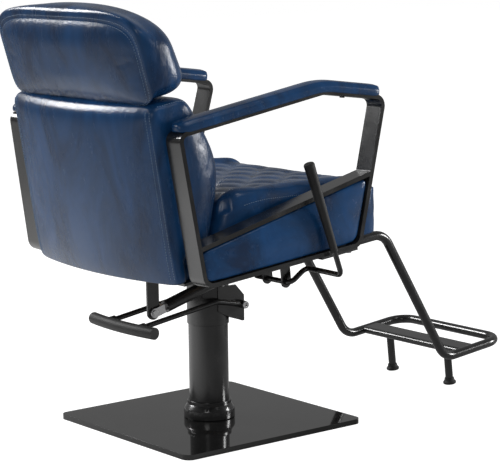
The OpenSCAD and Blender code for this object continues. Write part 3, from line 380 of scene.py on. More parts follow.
world = bpy.data.worlds.new("studio")
bpy.context.scene.world = world
world.use_nodes = True
t = world.node_tree
t.nodes.clear()
path = add_node(t, "ShaderNodeLightPath")
place = add_node(t, "ShaderNodeTexCoord").outputs["Generated"]
far_side = maths(t, "MULTIPLY_ADD", vector_maths(t, "DOT_PRODUCT", place, FAR_WALL), 0.5, 0.5)
walls = ramp(t, far_side, (0.10, 0.10), (0.45, 0.14), (0.80, 0.30))
upward = add_node(t, "ShaderNodeSeparateXYZ", {0: place}).outputs["Z"]
lit = add_node(t, "ShaderNodeBackground", {"Color": ramp(t, upward, (0.05, 0.66), (0.75, 0.17))})
mirrored = add_node(t, "ShaderNodeBackground", {"Color": walls})
white = add_node(t, "ShaderNodeBackground", {"Color": WHITE})
shiny = maths(t, "MAXIMUM", path.outputs["Is Glossy Ray"], path.outputs["Is Transmission Ray"])
mix = add_node(t, "ShaderNodeMixShader", {0: shiny, 1: lit.outputs[0], 2: mirrored.outputs[0]})
to_camera = path.outputs["Is Camera Ray"]
mix = add_node(t, "ShaderNodeMixShader", {0: to_camera, 1: mix.outputs[0], 2: white.outputs[0]})
add_node(t, "ShaderNodeOutputWorld", {"Surface": mix.outputs[0]})
print("world nodes:", len(t.nodes))

# %% Softboxes
SOFTBOXES = [
    # name, place, aimed at, width and height, watts
    ("back_top", (3.05, 1.65, 2.55), (0, 0.35, 0.8), (1.0, 1.2), 115),
    ("front_right", (-2.1, -3.5, 1.25), (-0.2, 0.2, 0.75), (0.8, 1.1), 85),
    ("over_right", (-2.0, -0.6, 3.2), (0, 0.2, 0.8), (0.8, 1.0), 9),
    ("behind_camera", (-3.4, 3.9, 2.6), (0, 0.1, 0.6), (1.4, 1.4), 26)]

for name, at, aim, size, power in SOFTBOXES:
    lamp = bpy.data.lights.new(name, "AREA")
    lamp.shape = "RECTANGLE"
    lamp.size, lamp.size_y = size
    lamp.energy = power
    box = bpy.data.objects.new(name, lamp)
    bpy.context.scene.collection.objects.link(box)
    box.location = at
    box.rotation_euler = (Vector(aim) - Vector(at)).to_track_quat("-Z", "Y").to_euler()

# %% [markdown]
# ## Finishes
# The cover is a glossy coated leather: navy, clouded where it was stretched, with a fine grain that
# breaks up the highlights. The frames are painted satin black, the base plate is polished black, and
# the small hardware is bright zinc. What two finishes share is made once, as a node group.

# %% Node group: clouded leather
DEEP_NAVY, NAVY, WORN_NAVY = (0.0035, 0.021, 0.066), (0.0068, 0.045, 0.130), (0.012, 0.064, 0.185)
PALE_NAVY = (0.018, 0.075, 0.205, 1)
ACROSS_SEAM = (1.0, 1.0, 0.12)


def new_group(name, inputs):
    """A group with these inputs that puts out a colour, a roughness and a height."""
    g = bpy.data.node_groups.new(name, "ShaderNodeTree")
    for label, kind, value in inputs:
        s = g.interface.new_socket(name=label, in_out="INPUT", socket_type=kind)
        s.default_value = value
    for label, kind in (("Color", "Color"), ("Roughness", "Float"), ("Height", "Float")):
        g.interface.new_socket(name=label, in_out="OUTPUT", socket_type="NodeSocket" + kind)
    return g, g.nodes.new("NodeGroupInput"), g.nodes.new("NodeGroupOutput")


leather_group, given, put = new_group("clouded_leather", [
    ("Stretch", "NodeSocketVector", (1.0, 1.0, 0.38)), ("Cloud size", "NodeSocketFloat", 9.0),
    ("Grain size", "NodeSocketFloat", 240.0), ("Crinkle", "NodeSocketFloat", 0.35)])
g = leather_group
place = object_place(g)
pulled = vector_maths(g, "MULTIPLY", place, given.outputs["Stretch"])
cloud = noise(g, pulled, given.outputs["Cloud size"], 5.0, Roughness=0.62, Distortion=0.6)
fleck = noise(g, pulled, 46.0, 6.0, Roughness=0.7)
colour = ramp(g, cloud, (0.34, DEEP_NAVY), (0.50, NAVY), (0.64, WORN_NAVY))
pale = ramp(g, fleck, (0.56, 0.0), (0.74, 1.0))
mixed = blend(g, maths(g, "MULTIPLY", pale, 0.35), colour, PALE_NAVY)
grain = add_node(g, "ShaderNodeTexVoronoi", {"Vector": place, "Scale": given.outputs["Grain size"]},
                 feature="SMOOTH_F1").outputs["Distance"]
crinkle = noise(g, pulled, 34.0, 7.0, Roughness=0.68, Distortion=1.2)
fold = ramp(g, maths(g, "ABSOLUTE", maths(g, "SUBTRACT", crinkle, 0.5)), (0.0, 0.0), (0.09, 1.0))
creased = add_node(g, "ShaderNodeAttribute", attribute_name="creased").outputs["Fac"]
deeper = maths(g, "ADD", maths(g, "MULTIPLY", creased, 6.0), 0.7)
deep = maths(g, "MULTIPLY", given.outputs["Crinkle"], deeper)
height = maths(g, "ADD", maths(g, "MULTIPLY", fold, deep), maths(g, "MULTIPLY", grain, 0.16))
# Beside a seam the cover is drawn tight, and short folds run away from the stitches
tight = add_node(g, "ShaderNodeAttribute", attribute_name="pull").outputs["Fac"]
streak = noise(g, vector_maths(g, "MULTIPLY", place, ACROSS_SEAM), 105.0, 3.0, Distortion=0.3)
height = maths(g, "ADD", height, maths(g, "MULTIPLY", maths(g, "MULTIPLY", streak, tight), 2.6))
rough = ramp(g, cloud, (0.3, 0.31), (0.7, 0.17))
g.links.new(mixed, put.inputs["Color"])
g.links.new(maths(g, "ADD", rough, maths(g, "MULTIPLY", pale, 0.10)), put.inputs["Roughness"])
g.links.new(height, put.inputs["Height"])
print(g.name, len(g.nodes), "nodes")

# %% Node group: paint and bare metal with a fine texture and handling marks
HANDLED_GREY = (0.35, 0.35, 0.35, 1)

worn_group, given, put = new_group("worn_finish", [
    ("Color", "NodeSocketColor", (0.01, 0.01, 0.01, 1)), ("Roughness", "NodeSocketFloat", 0.4),
    ("Marks", "NodeSocketFloat", 0.3), ("Texture size", "NodeSocketFloat", 900.0)])
g = worn_group
place = object_place(g)
smear = noise(g, place, 14.0, 5.0, Roughness=0.6)
peel = noise(g, place, given.outputs["Texture size"], 2.0)
mark = maths(g, "MULTIPLY", ramp(g, smear, (0.42, 0.0), (0.68, 1.0)), given.outputs["Marks"])
brighter = blend(g, maths(g, "MULTIPLY", mark, 0.25), given.outputs["Color"], HANDLED_GREY)
rough = maths(g, "ADD", given.outputs["Roughness"], maths(g, "MULTIPLY", mark, 0.3))
g.links.new(brighter, put.inputs["Color"])
g.links.new(rough, put.inputs["Roughness"])
g.links.new(peel, put.inputs["Height"])
print(g.name, len(g.nodes), "nodes")


# %% Materials
def surface(name, group, values, bump, depth, **sockets):
    """A Principled surface fed by a node group; bump and depth say how much of its height shows."""
    m, tree = blank_material(name)
    n = add_node(tree, "ShaderNodeGroup", node_tree=group)
    for key, value in values.items():
        n.inputs[key].default_value = value
    relief = add_node(tree, "ShaderNodeBump", {"Height": n.outputs["Height"], "Strength": bump,
                                               "Distance": depth})
    shader = add_node(tree, "ShaderNodeBsdfPrincipled", {
        "Base Color": n.outputs["Color"], "Roughness": n.outputs["Roughness"],
        "Normal": relief.outputs[0], **sockets})
    add_node(tree, "ShaderNodeOutputMaterial", {"Surface": shader.outputs[0]})
    return m


def worn(name, colour, rough, marks, bump=0.05, depth=0.0003, texture=900.0, **sockets):
    values = {"Color": (*colour, 1), "Roughness": rough, "Marks": marks, "Texture size": texture}
    return surface(name, worn_group, values, bump, depth, **sockets)


leather = surface("navy_leather", leather_group, {}, 0.45, 0.0012, IOR=1.42)
leather_flat = surface("navy_leather_flat", leather_group, {"Stretch": (1.0, 1.0, 1.0), "Crinkle": 0.22},
                       0.34, 0.0009, IOR=1.42)
satin = worn("satin_black", (0.0095, 0.0095, 0.0098), 0.20, 0.15, depth=0.0004, IOR=1.62)
gloss = worn("gloss_black", (0.008, 0.008, 0.008), 0.04, 0.05, bump=0.004, IOR=1.5)
zinc = worn("bright_zinc", (0.62, 0.62, 0.63), 0.24, 0.25, Metallic=1.0)
dark_zinc = worn("dark_screws", (0.03, 0.03, 0.032), 0.34, 0.3, Metallic=0.6)
bronze = worn("bronze", (0.42, 0.26, 0.11), 0.38, 0.3, Metallic=1.0)
nylon = worn("nylon", (0.82, 0.81, 0.77), 0.5, 0.1, 0.08, 0.0004, 500.0, IOR=1.5)
rubber = worn("black_rubber", (0.012, 0.012, 0.012), 0.58, 0.2, 0.12, 0.0006, 420.0, IOR=1.45)
thread = worn("navy_thread", (0.20, 0.30, 0.44), 0.45, 0.1, 0.2, 0.0003, 1200.0, IOR=1.5)
print("finishes so far:", len(bpy.data.materials))

# %% [markdown]
# ## Plywood
# The seat board is birch plywood, seen only from below: a pale figure along the board, and the plies
# as faint stripes through its thickness. It lies at the seat's pitch, so the pattern is turned to lie
# with it.

# %% Plywood
PALE_BIRCH, BROWN_BIRCH, PLY_LINE = (0.56, 0.39, 0.22), (0.36, 0.22, 0.11), (0.20, 0.11, 0.05, 1)

plywood, t = blank_material("birch_plywood")
board = {"Vector": object_place(t), "Rotation": (PITCH, 0, 0), "Scale": (3.0, 30.0, 30.0)}
sheet_lie = add_node(t, "ShaderNodeMapping", board).outputs[0]
figure = noise(t, sheet_lie, 3.0, 6.0, Distortion=0.8)
birch = ramp(t, figure, (0.3, BROWN_BIRCH), (0.7, PALE_BIRCH))
plies = add_node(t, "ShaderNodeTexWave", {"Vector": sheet_lie, "Scale": 3.4}, bands_direction="Z")
layers = blend(t, maths(t, "MULTIPLY", plies.outputs["Fac"], 0.25), birch, PLY_LINE)
relief = add_node(t, "ShaderNodeBump", {"Height": figure, "Strength": 0.2, "Distance": 0.0006})
wood = add_node(t, "ShaderNodeBsdfPrincipled", {
    "Base Color": layers, "Roughness": 0.62, "Normal": relief.outputs[0]})
add_node(t, "ShaderNodeOutputMaterial", {"Surface": wood.outputs[0]})
print("materials:", len(bpy.data.materials))

# %% [markdown]
# ## The steel
# Sawn and bent bar never has a knife edge: paint rounds it, and that thin round catches the light.
# The model's edges are sharp, so a rigid part is copied, its loose triangles are merged into faces,
# and a narrow bevel, of 0.4 to 1.5 millimetres, goes round its edges. Tubes and turned parts are
# round already and only take the finish.

# %% Soft edges on a copy
FLAT_ANGLE, BEVEL_ANGLE, SMOOTH_ANGLE = math.radians(0.4), math.radians(34), math.radians(38)
EASED = {
    "base_plate": 0.0012, "base_collar": 0.0008, "pump_head": 0.0015, "pedal_bracket": 0.0006,
    "seat_mount": 0.0006, "seat_frame": 0.0006, "arm_frame_right": 0.0011, "arm_frame_left": 0.0011,
    "hinge_plates": 0.0006, "footrest_sockets": 0.0008, "footrest_plate": 0.0008, "lever_bracket": 0.0005,
    "strut_anchor": 0.0005, "recline_arm": 0.0006, "release_head": 0.0006}
EASED_ZINC = {"strut_clevis": 0.0004, "pedal_bolts": 0.0005, "footrest_bolts": 0.0004}


def eased(node, body, finish, width):
    source = frame["nodes"][node]
    piece = source.copy()
    piece.data = source.data.copy()
    piece.name = piece.data.name = node + "_eased"
    piece.parent = None
    piece.matrix_world = Matrix.Identity(4)
    for key in [k for k in piece.keys() if k.startswith("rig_")]:
        del piece[key]
    bpy.context.scene.collection.objects.link(piece)
    only(piece)
    bpy.ops.object.mode_set(mode="EDIT")
    bpy.ops.mesh.select_all(action="SELECT")
    bpy.ops.mesh.remove_doubles(threshold=1e-6)
    bpy.ops.mesh.dissolve_limited(angle_limit=FLAT_ANGLE)
    bpy.ops.object.mode_set(mode="OBJECT")
    bevel = piece.modifiers.new("Eased", "BEVEL")
    bevel.width = width
    bevel.segments = 2
    bevel.limit_method = "ANGLE"
    bevel.angle_limit = BEVEL_ANGLE
    bpy.ops.object.modifier_apply(modifier="Eased")
    bpy.ops.object.shade_smooth_by_angle(angle=SMOOTH_ANGLE)
    even = piece.modifiers.new("Even", "WEIGHTED_NORMAL")
    even.keep_sharp = True
    even.weight = 100
    bpy.ops.object.modifier_apply(modifier="Even")
    piece.data.materials.clear()
    piece.data.materials.append(finish)
    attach(piece, body)
    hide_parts(node)


bodies = frame["record"]["behaviour"]["bodies"]
body_of = {n: b for b, nodes in bodies.items() for n in nodes}
for node, width in EASED.items():
    eased(node, body_of[node], gloss if node == "base_plate" else satin, width)
for node, width in EASED_ZINC.items():
    eased(node, body_of[node], zinc, width)
print("eased parts:", len(EASED) + len(EASED_ZINC))

# %% Finishes for the parts that stay as they are
FINISH = {
    "black_steel": satin, "dark_screws": dark_zinc, "bright_steel": zinc, "nylon": nylon,
    "bronze": bronze, "plywood": plywood, "blue_leather": leather, "black_rubber": rubber}
slots = {part["node"]: part["material_slot"] for part in frame["record"]["subparts"]}
for name, node in frame["nodes"].items():
    finish = FINISH.get(slots.get(name), satin)
    for i in range(len(node.material_slots)):
        node.material_slots[i].material = finish
    if not node.material_slots:
        node.data.materials.append(finish)
print("slots:", len(slots))

# %% [markdown]
# ## The headrest
# A deep padded pillow on two posts. Its rear panel is smaller than its outline and is sewn to a wide
# gusset, which rolls over the top and the sides to the front panel. The bottom is nearly flat. Each
# row of numbers below is one line round the pillow, from the rear seam to the front one: how wide
# it is, where it starts and ends in height, how sharp its corners are, and how deep it lies.

# %% Headrest
HEAD_HALF_W, HEAD_H, HEAD_LOW = 280.0, 200.0, 390.0
HEAD_ROWS = [
    # place, width, low, high, top power, low power, depth
    (0.00, 0.922, -0.035, 0.872, 4.2, 16.0, 0.000),
    (0.15, 0.962, -0.030, 0.960, 4.8, 14.0, 0.015),
    (0.32, 0.982, -0.012, 0.990, 4.2, 10.0, 0.075),
    (0.48, 0.997, 0.000, 0.999, 3.4, 8.0, 0.180),
    (0.64, 1.000, 0.000, 1.000, 2.6, 8.0, 0.360),
    (0.80, 0.992, 0.004, 0.996, 2.4, 8.0, 0.560),
    (0.92, 0.965, 0.014, 0.984, 2.4, 8.0, 0.720),
    (1.00, 0.925, 0.030, 0.962, 2.4, 8.0, 0.810)]
# The bow across the rear panel, in millimetres, and the puff of each panel, as a share of the depth
HEAD_BOW, HEAD_REAR_PUFF, HEAD_FRONT_PUFF = 7, 0.13, 1.10


def head_rear(v):
    """The rear face, which leans back towards the top; v goes from 0 at the bottom to 1 at the top."""
    return 8 + 24 * v


def head_front(v):
    """The front face, tucked in below and nodding over a little at the top."""
    return -118 + 52 * v + 24 * (max(0.0, 0.25 - v) / 0.25) ** 2 + 8 * v ** 6


def head_place(a, b, c):
    k = max(abs(a), abs(b))
    edge = on_rim(a, b)
    w = (c + 1) / 2 if edge else (0.0 if c < 0 else 1.0)
    wide, low, high, top, bottom, depth = along(HEAD_ROWS, w)
    p, q = rounded_square(a, b, top, bottom)
    width = HEAD_HALF_W * wide * (1 - 0.04 * max(0.0, -q) ** 6)
    v = (low + high) / 2 + q * (high - low) / 2
    if not edge and c > 0:
        depth += (HEAD_FRONT_PUFF - depth) * (1 - k ** 2.6) ** 0.55
    if not edge and c < 0:
        depth -= HEAD_REAR_PUFF * (1 - k ** 8)
    rear = head_rear(v) + 2 - HEAD_BOW * (p * wide) ** 2
    return on_back(p * width, rear + depth * (head_front(v) - rear), HEAD_LOW + HEAD_H * v)


headrest = grid_block("headrest_pillow", (48, 24, 16), head_place)
head_seams = either(on_ring(-1), on_ring(1))
swell(headrest, head_seams, pressure=2.5, cap=0.004, slack=0.0)
seam_creases(headrest, head_seams)
write_layer(headrest, "pull", lambda a, b, c: (b - 0.45) / 0.5 if c < -0.99 else 0.0)
write_layer(headrest, "creased", lambda a, b, c: (c + 0.9) / 0.6)
finish_pad(headrest, "headrest", "blue_leather", 0.8, "headrest_cushion", levels=2)
headrest.data.materials.append(leather)

# %% [markdown]
# ## The backrest
# A boxed cushion on a steel frame, with a bowed rear panel. The cover of the rear and of the sides
# meets in a twice-stitched seam down each rear edge, and the front bulges at the small of the back.
# It narrows at its lower corners, where the hinge plates stand.

# %% Backrest
BACK_HALF_W, BACK_LOW, BACK_H, LAYER, TOP_ROLL = 270.0, -4.0, 391.0, -13.0, 26.0
BACK_HALF_H = BACK_H / 2
BACK_MIDDLE = BACK_LOW + BACK_HALF_H
BULGE, BULGE_AT, BULGE_SPREAD = 156, 0.58, 0.36
# In front of HINGE_T and below HINGE_TOP the cover stays within HINGE_HALF_W, clear of the hinge plates
HINGE_T, HINGE_TOP, HINGE_HALF_W = -14, 62, 241
BACK_ROWS = [
    # place, outline, rear depth, front depth
    (0.00, 0.978, 0.93, 0.00),
    (0.08, 0.994, 0.80, 0.00),
    (0.18, 1.000, 0.45, 0.00),
    (0.32, 1.000, 0.00, 0.04),
    (0.52, 1.000, 0.00, 0.30),
    (0.70, 1.000, 0.00, 0.54),
    (0.84, 0.992, 0.00, 0.71),
    (0.93, 0.970, 0.00, 0.82),
    (1.00, 0.935, 0.00, 0.89)]


def back_rear(u, v):
    """Bowed across, rolled over at the top, and tucked in a little at the bottom."""
    top_roll = min(1.0, max(0.0, (v * BACK_HALF_H - BACK_HALF_H + TOP_ROLL) / TOP_ROLL))
    tucked = TOP_ROLL * (1 - math.sqrt(1 - top_roll ** 2)) if v > 0 else 6 * v ** 8
    return 16 + 30 * (1 - u * u) - tucked - 3 * u ** 10


def back_front(f):
    """The front face, half its full depth at the ends; f goes from 0 at the bottom to 1 at the top."""
    return -BULGE * (0.5 + 0.5 * math.exp(-((f - BULGE_AT) / BULGE_SPREAD) ** 2))


def back_place(a, b, c):
    k = max(abs(a), abs(b))
    edge = on_rim(a, b)
    w = (c + 1) / 2 if edge else (0.0 if c < 0 else 1.0)
    outline, rear_depth, front_depth = along(BACK_ROWS, w)
    p, q = rounded_square(a, b, 22, 30 - 12 * w)
    x, s = p * outline * BACK_HALF_W, BACK_MIDDLE + q * outline * BACK_HALF_H
    if not edge and c > 0:
        front_depth += (1.0 - front_depth) * (1 - k ** 3) ** 0.6
    if not edge and c < 0:
        rear_depth += (1.0 - rear_depth) * (1 - k ** 10)
    t = LAYER
    if rear_depth > 0:
        t += rear_depth * (back_rear(abs(x) / BACK_HALF_W, (s - BACK_MIDDLE) / BACK_HALF_H) - LAYER)
    else:
        t += front_depth * (back_front((s - BACK_LOW) / BACK_H) - LAYER)
    if t < HINGE_T:
        room_at_hinge = min(1.0, max(0.0, (HINGE_TOP - s) / 26)) * min(1.0, (HINGE_T - t) / 10)
        limit = BACK_HALF_W - (BACK_HALF_W - HINGE_HALF_W) * room_at_hinge
        x = max(-limit, min(limit, x))
    return on_back(x, t, s)


back_seams = either(on_ring(-1), on_ring(1), lambda a, b, c: abs(a) > RIM and b > RIM and c < 0.5)
backrest = grid_block("backrest_cushion", (54, 40, 18), back_place)
swell(backrest, back_seams, pressure=2.0, cap=0.003, slack=0.0)
seam_creases(backrest, back_seams)
write_layer(backrest, "pull", lambda a, b, c: (b - 0.6) / 0.35 if c < -0.5 else 0.0)
write_layer(backrest, "creased", lambda a, b, c: c / 0.5)
finish_pad(backrest, "backrest", "blue_leather", 0.75, "back_cushion", "back_panel", levels=2)
backrest.data.materials.append(leather)

# %% [markdown]
# ## The seat
# A boxed cushion with a diamond-quilted middle between two plain bolsters. Quilting is sewn through
# the cover and a thin layer of foam, so each diamond is a small pillow and the stitch lines are
# valleys. The grid has fifteen steps to a diamond each way, so its points fall close to those lines.

# %% Seat
SEAT_HALF_W, SEAT_FRONT, SEAT_REAR, SEAT_Z = 266.0, -284.5, 158.0, 566.0
SEAT_MIDDLE, SEAT_LENGTH = (SEAT_FRONT + SEAT_REAR) / 2, SEAT_REAR - SEAT_FRONT
CUSHION_LOW, REAR_SPREAD = 34.3, 18
# At the front the cover goes on down by APRON, over a board that hangs below the cushion
APRON, APRON_END, APRON_STEP = 39.0, -150.0, 8
KNEE_FALL, KNEE_SHARE = 8, 0.32
SEAM_Z, SEAM_DIP, DIP_FROM = 545, 25, 20
BOLSTER, BOLSTER_STEP, SIDE_RISE = 50.0, 16, 11.0
# How far in from the seam the top starts to roll over, and how round that roll is at the corners
ROLL, REAR_ROLL, ROLL_POWER = 34.0, 60.0, 2.2
DIAMOND, QUILT_DEPTH, REAR_BAND = 102.2, 5.5, 30
COLUMNS, ROWS, LAYERS = 78, 65, 12


def under_seat(y):
    """Height, in metres, of the sloping plane that the arm frames start from."""
    return FRAME_Z - y * math.tan(PITCH)


def crown(y):
    """Height of the quilted middle; it falls a little towards the knees."""
    v = (y - SEAT_FRONT) / SEAT_LENGTH
    return SEAT_Z - KNEE_FALL * (max(0.0, KNEE_SHARE - v) / KNEE_SHARE) ** 2


def seam_z(y):
    """Height of the seam round the top panel; it dips towards the rear corners."""
    return SEAM_Z - SEAM_DIP * (max(0.0, y - DIP_FROM) / (SEAT_REAR - DIP_FROM)) ** 2


def seat_plan(a, b):
    """Where a point of the grid lies in plan; the middle stays square, for the quilting."""
    k = max(abs(a), abs(b))
    p, q = rounded_square(a, b, 9, 26)
    p, q = a + (p - a) * k ** 6, b + (q - b) * k ** 6
    return p * SEAT_HALF_W, SEAT_MIDDLE + q * SEAT_LENGTH / 2


def quilt(x, y):
    """How high the quilting stands: 0 on a stitch line, 1 in the middle of a diamond, -1 off it."""
    if abs(x) > SEAT_HALF_W - BOLSTER or y < SEAT_FRONT + BOLSTER or y > SEAT_REAR - REAR_BAND:
        return -1.0
    across, ahead = x + SEAT_HALF_W, y - SEAT_FRONT
    u, v = (across + ahead) / DIAMOND % 1, (across - ahead) / DIAMOND % 1
    return min(1.0, 3.6 * min(u, 1 - u)) ** 0.45 * min(1.0, 3.6 * min(v, 1 - v)) ** 0.45


def seat_side(x, y, b, rise, low, seam):
    """A point of the boxed side, from the underside at rise 0 to the seam at 1."""
    low -= APRON * min(1.0, max(0.0, (APRON_END - y) / APRON_STEP))
    bow = 1 + 0.006 * math.sin(math.pi * rise)
    z = low + (seam - low) * rise
    return Vector((x * bow, y * bow + REAR_SPREAD * max(0.0, b) * (1 - rise), z)) / 1000


def seat_place(a, b, c):
    x, y = seat_plan(a, b)
    low = 1000 * under_seat(y / 1000) + CUSHION_LOW / math.cos(PITCH)
    top, seam = crown(y), seam_z(y)
    if on_rim(a, b):
        return seat_side(x, y, b, (c + 1) / 2, low, seam)
    if c < 0:
        return Vector((x, y + REAR_SPREAD * max(0.0, b), low)) / 1000
    # The side bolsters stand a little proud, and everything rolls over to the seam
    step = min(1.0, max(0.0, (abs(x) - SEAT_HALF_W + BOLSTER) / BOLSTER_STEP))
    top += SIDE_RISE * step ** 2 * (3 - 2 * step)
    from_side, from_end = (1 - abs(a)) * SEAT_HALF_W, (1 - abs(b)) * SEAT_LENGTH / 2
    near_side = max(0.0, 1 - from_side / ROLL)
    near_end = max(0.0, 1 - from_end / (REAR_ROLL if b > 0 else ROLL))
    roll = min(1.0, (near_side ** ROLL_POWER + near_end ** ROLL_POWER) ** (1 / ROLL_POWER))
    z = top - (top - seam) * (1 - math.sqrt(1 - roll * roll))
    z -= QUILT_DEPTH * (1 - abs(quilt(x, y)))
    return Vector((x, y, z)) / 1000


def seat_held(a, b, c):
    """True on the underside, on the seam round the top, and along the stitch lines."""
    if c < -FACE or (on_rim(a, b) and c > FACE):
        return True
    return c > FACE and 0 <= quilt(*seat_plan(a, b)) < 0.34


def seat_pull(a, b, c):
    return (b - 0.5) / 0.5 if on_rim(a, b) and abs(a) > 0.9 else 0.0


seat = grid_block("seat_cushion_cover", (COLUMNS, ROWS, LAYERS), seat_place)
swell(seat, seat_held, pressure=3.0, cap=0.004, slack=0.004)
seam_creases(seat, on_ring(1))
write_layer(seat, "pull", seat_pull)
finish_pad(seat, "chair", "blue_leather", 0.7, "seat_cushion", levels=1)
seat.data.materials.append(leather_flat)

# %% [markdown]
# ## The side panels
# A thin board with foam fills each arm frame below its diagonal bar. Its outline is the four-sided
# opening of the frame, a little smaller, so each point of the grid is placed between the four
# corners, and the face is crowned towards its middle.

# %% Side panels
FRONT_LOW, REAR_LOW, REAR_HIGH, FRONT_HIGH = (-156.5, 12.0), (252.6, 12.0), (256.2, 78.4), (-208.4, 146.6)
PANEL_INSIDE, PANEL_OUTSIDE, PANEL_CROWN = -38.0, -4.5, 5.0


def between(start, end, f):
    return [m + (n - m) * f for m, n in zip(start, end)]


def side_panel_place(side):
    def place(a, b, c):
        p, q = rounded_square(a, b, 16, 13)
        f, h = (p + 1) / 2, (q + 1) / 2
        y, z = between(between(FRONT_LOW, REAR_LOW, f), between(FRONT_HIGH, REAR_HIGH, f), h)
        if on_rim(a, b):
            x = PANEL_INSIDE + (PANEL_OUTSIDE - PANEL_INSIDE) * (c + 1) / 2
        elif c > 0:
            x = PANEL_OUTSIDE + PANEL_CROWN * (1 - p ** 6) ** 0.7 * (1 - q ** 6) ** 0.7
        else:
            x = PANEL_INSIDE
        return on_arm(x, y, z, side)
    return place


def panel_held(a, b, c):
    """Only the crowned face is free to swell."""
    return c < FACE or on_rim(a, b)


for side, name in ((1, "left"), (-1, "right")):
    panel = grid_block("side_pad_" + name, (56, 18, 5), side_panel_place(side))
    swell(panel, panel_held, pressure=1.5, cap=0.0025, slack=0.0)
    finish_pad(panel, "chair", "blue_leather", 0.5, "side_panel_" + name, levels=1)
    panel.data.materials.append(leather_flat)

# %% [markdown]
# ## The arm pads
# Foam on a bent board, wrapped in leather: flat on top with a chamfer along each side, and drawn in
# at both ends. A section is carried along the rail, over its bend, as a carpenter would plane it.

# %% Arm pads
PAD_LOW, PAD_T, PAD_HALF_W = -5.0, 27.0, 27.0
# The bar's middle, and how far the drawn-in ends shift to the outside
BAR_MIDDLE, END_SHIFT = -25, 12
RAIL_REAR, RAIL_PEAK, RAIL_FRONT = Vector((282.0, 333.0)), Vector((-111.0, 358.0)), Vector((-284.3, 316.5))
TIP_INSET, NOSE_INSET = 6, 20
TIP_END, NOSE_END, BEND = 20, 15, 30
LONG_STEPS, BEND_STEPS, SHORT_STEPS = 20, 8, 8
SECTION = [(-1, 0.20), (-0.95, 0.0), (-0.45, 0), (0, 0), (0.45, 0), (0.95, 0.0), (1, 0.20), (1, 0.55),
           (0.80, 0.93), (0.4, 1.02), (0, 1.05), (-0.4, 1.02), (-0.80, 0.93), (-1, 0.55)]
CHAMFERS = ((0.80, 0.93), (-0.80, 0.93), (1, 0.55), (-1, 0.55), (1, 0.20), (-1, 0.20))
CHAMFER_CREASE = 0.55


def pad_path():
    """Centre, direction and size of each section, from the rear tip to the front one."""
    back_way = (RAIL_REAR - RAIL_PEAK).normalized()
    nose_way = (RAIL_FRONT - RAIL_PEAK).normalized()
    tip, nose = RAIL_REAR - back_way * TIP_INSET, RAIL_FRONT - nose_way * NOSE_INSET
    long_run = (tip - RAIL_PEAK).length - (TIP_END + BEND)
    short_run = (nose - RAIL_PEAK).length - (BEND + NOSE_END)
    rows = []
    for d, size in ((0, 0.30), (2, 0.50), (6, 0.68), (12, 0.84), (20, 0.95)):
        rows.append((tip - back_way * d, -back_way, size))
    for i in range(1, LONG_STEPS):
        rows.append((tip - back_way * (TIP_END + long_run * i / LONG_STEPS), -back_way, 1.0))
    for i in range(BEND_STEPS + 1):
        f = i / BEND_STEPS
        way = (-back_way * (1 - f) + nose_way * f).normalized()
        bent = RAIL_PEAK + back_way * BEND * (1 - f) ** 2 + nose_way * BEND * f ** 2
        rows.append((bent, way, 1.0))
    for i in range(1, SHORT_STEPS + 1):
        rows.append((RAIL_PEAK + nose_way * (BEND + short_run * i / SHORT_STEPS), nose_way, 1.0))
    for d, size in ((9, 0.97), (4, 0.90), (1, 0.80), (0, 0.66)):
        rows.append((nose - nose_way * d, nose_way, size))
    return rows


def pad_mesh(name, side):
    """The sections joined by faces, with a fan of faces on each end."""
    points, faces = [], []
    rows, n = pad_path(), len(SECTION)
    for at, way, size in rows:
        up = Vector((-way.y, way.x))
        up = up if up.y > 0 else -up
        for across, high in SECTION:
            x = BAR_MIDDLE + END_SHIFT * (1 - size) + across * size * PAD_HALF_W
            h = PAD_LOW + (0.5 + (high - 0.5) * size) * PAD_T
            points.append(on_arm(x, at.x + up.x * h, at.y + up.y * h, side))
    for i in range(len(rows) - 1):
        for j in range(n):
            faces.append((i * n + j, i * n + (j + 1) % n, (i + 1) * n + (j + 1) % n, (i + 1) * n + j))
    for i in (0, len(rows) - 1):
        points.append(sum((points[i * n + j] for j in range(n)), Vector()) / n)
        hub = len(points) - 1
        faces += [(hub, i * n + j, i * n + (j + 1) % n) for j in range(n)]
    mesh = bpy.data.meshes.new(name)
    mesh.from_pydata(points, [], faces)
    return mesh, len(rows)


def arm_pad(side, name):
    mesh, rows = pad_mesh("arm_pad_" + name, side)
    pad = bpy.data.objects.new("arm_pad_cover_" + name, mesh)
    bpy.context.scene.collection.objects.link(pad)
    point_outwards(pad)
    crease = mesh.attributes.new("crease_edge", "FLOAT", "EDGE")
    n = len(SECTION)
    for e in mesh.edges:
        i, j = e.vertices
        lengthwise = abs(i - j) == n and max(i, j) < rows * n
        if lengthwise and SECTION[i % n] in CHAMFERS:
            crease.data[e.index].value = CHAMFER_CREASE
    finish_pad(pad, "chair", "blue_leather", 0.6, "arm_pad_" + name, levels=2)
    pad.data.materials.append(leather_flat)


arm_pad(1, "left")
arm_pad(-1, "right")

# %% [markdown]
# ## Stitches
# Each stitch is a short, round-ended length of thread. One is modelled and copied along the lines
# where two panels are sewn together, and set on the surface of the finished cover.

# %% One stitch, copied along a line
STITCH_SIZE, STITCH_PITCH, STITCH_LIFT = (0.0007, 0.0022, 0.0007), 0.006, 0.0002

bpy.ops.object.select_all(action="DESELECT")
bpy.ops.mesh.primitive_uv_sphere_add(segments=6, ring_count=4, radius=1.0)
stitch = bpy.context.object
stitch.name = "stitch"
bpy.ops.transform.resize(value=STITCH_SIZE)
bpy.ops.object.transform_apply(location=False, rotation=False, scale=True)
stitch_shape = [v.co.copy() for v in stitch.data.vertices]
stitch_faces = [tuple(p.vertices) for p in stitch.data.polygons]
bpy.data.objects.remove(stitch)


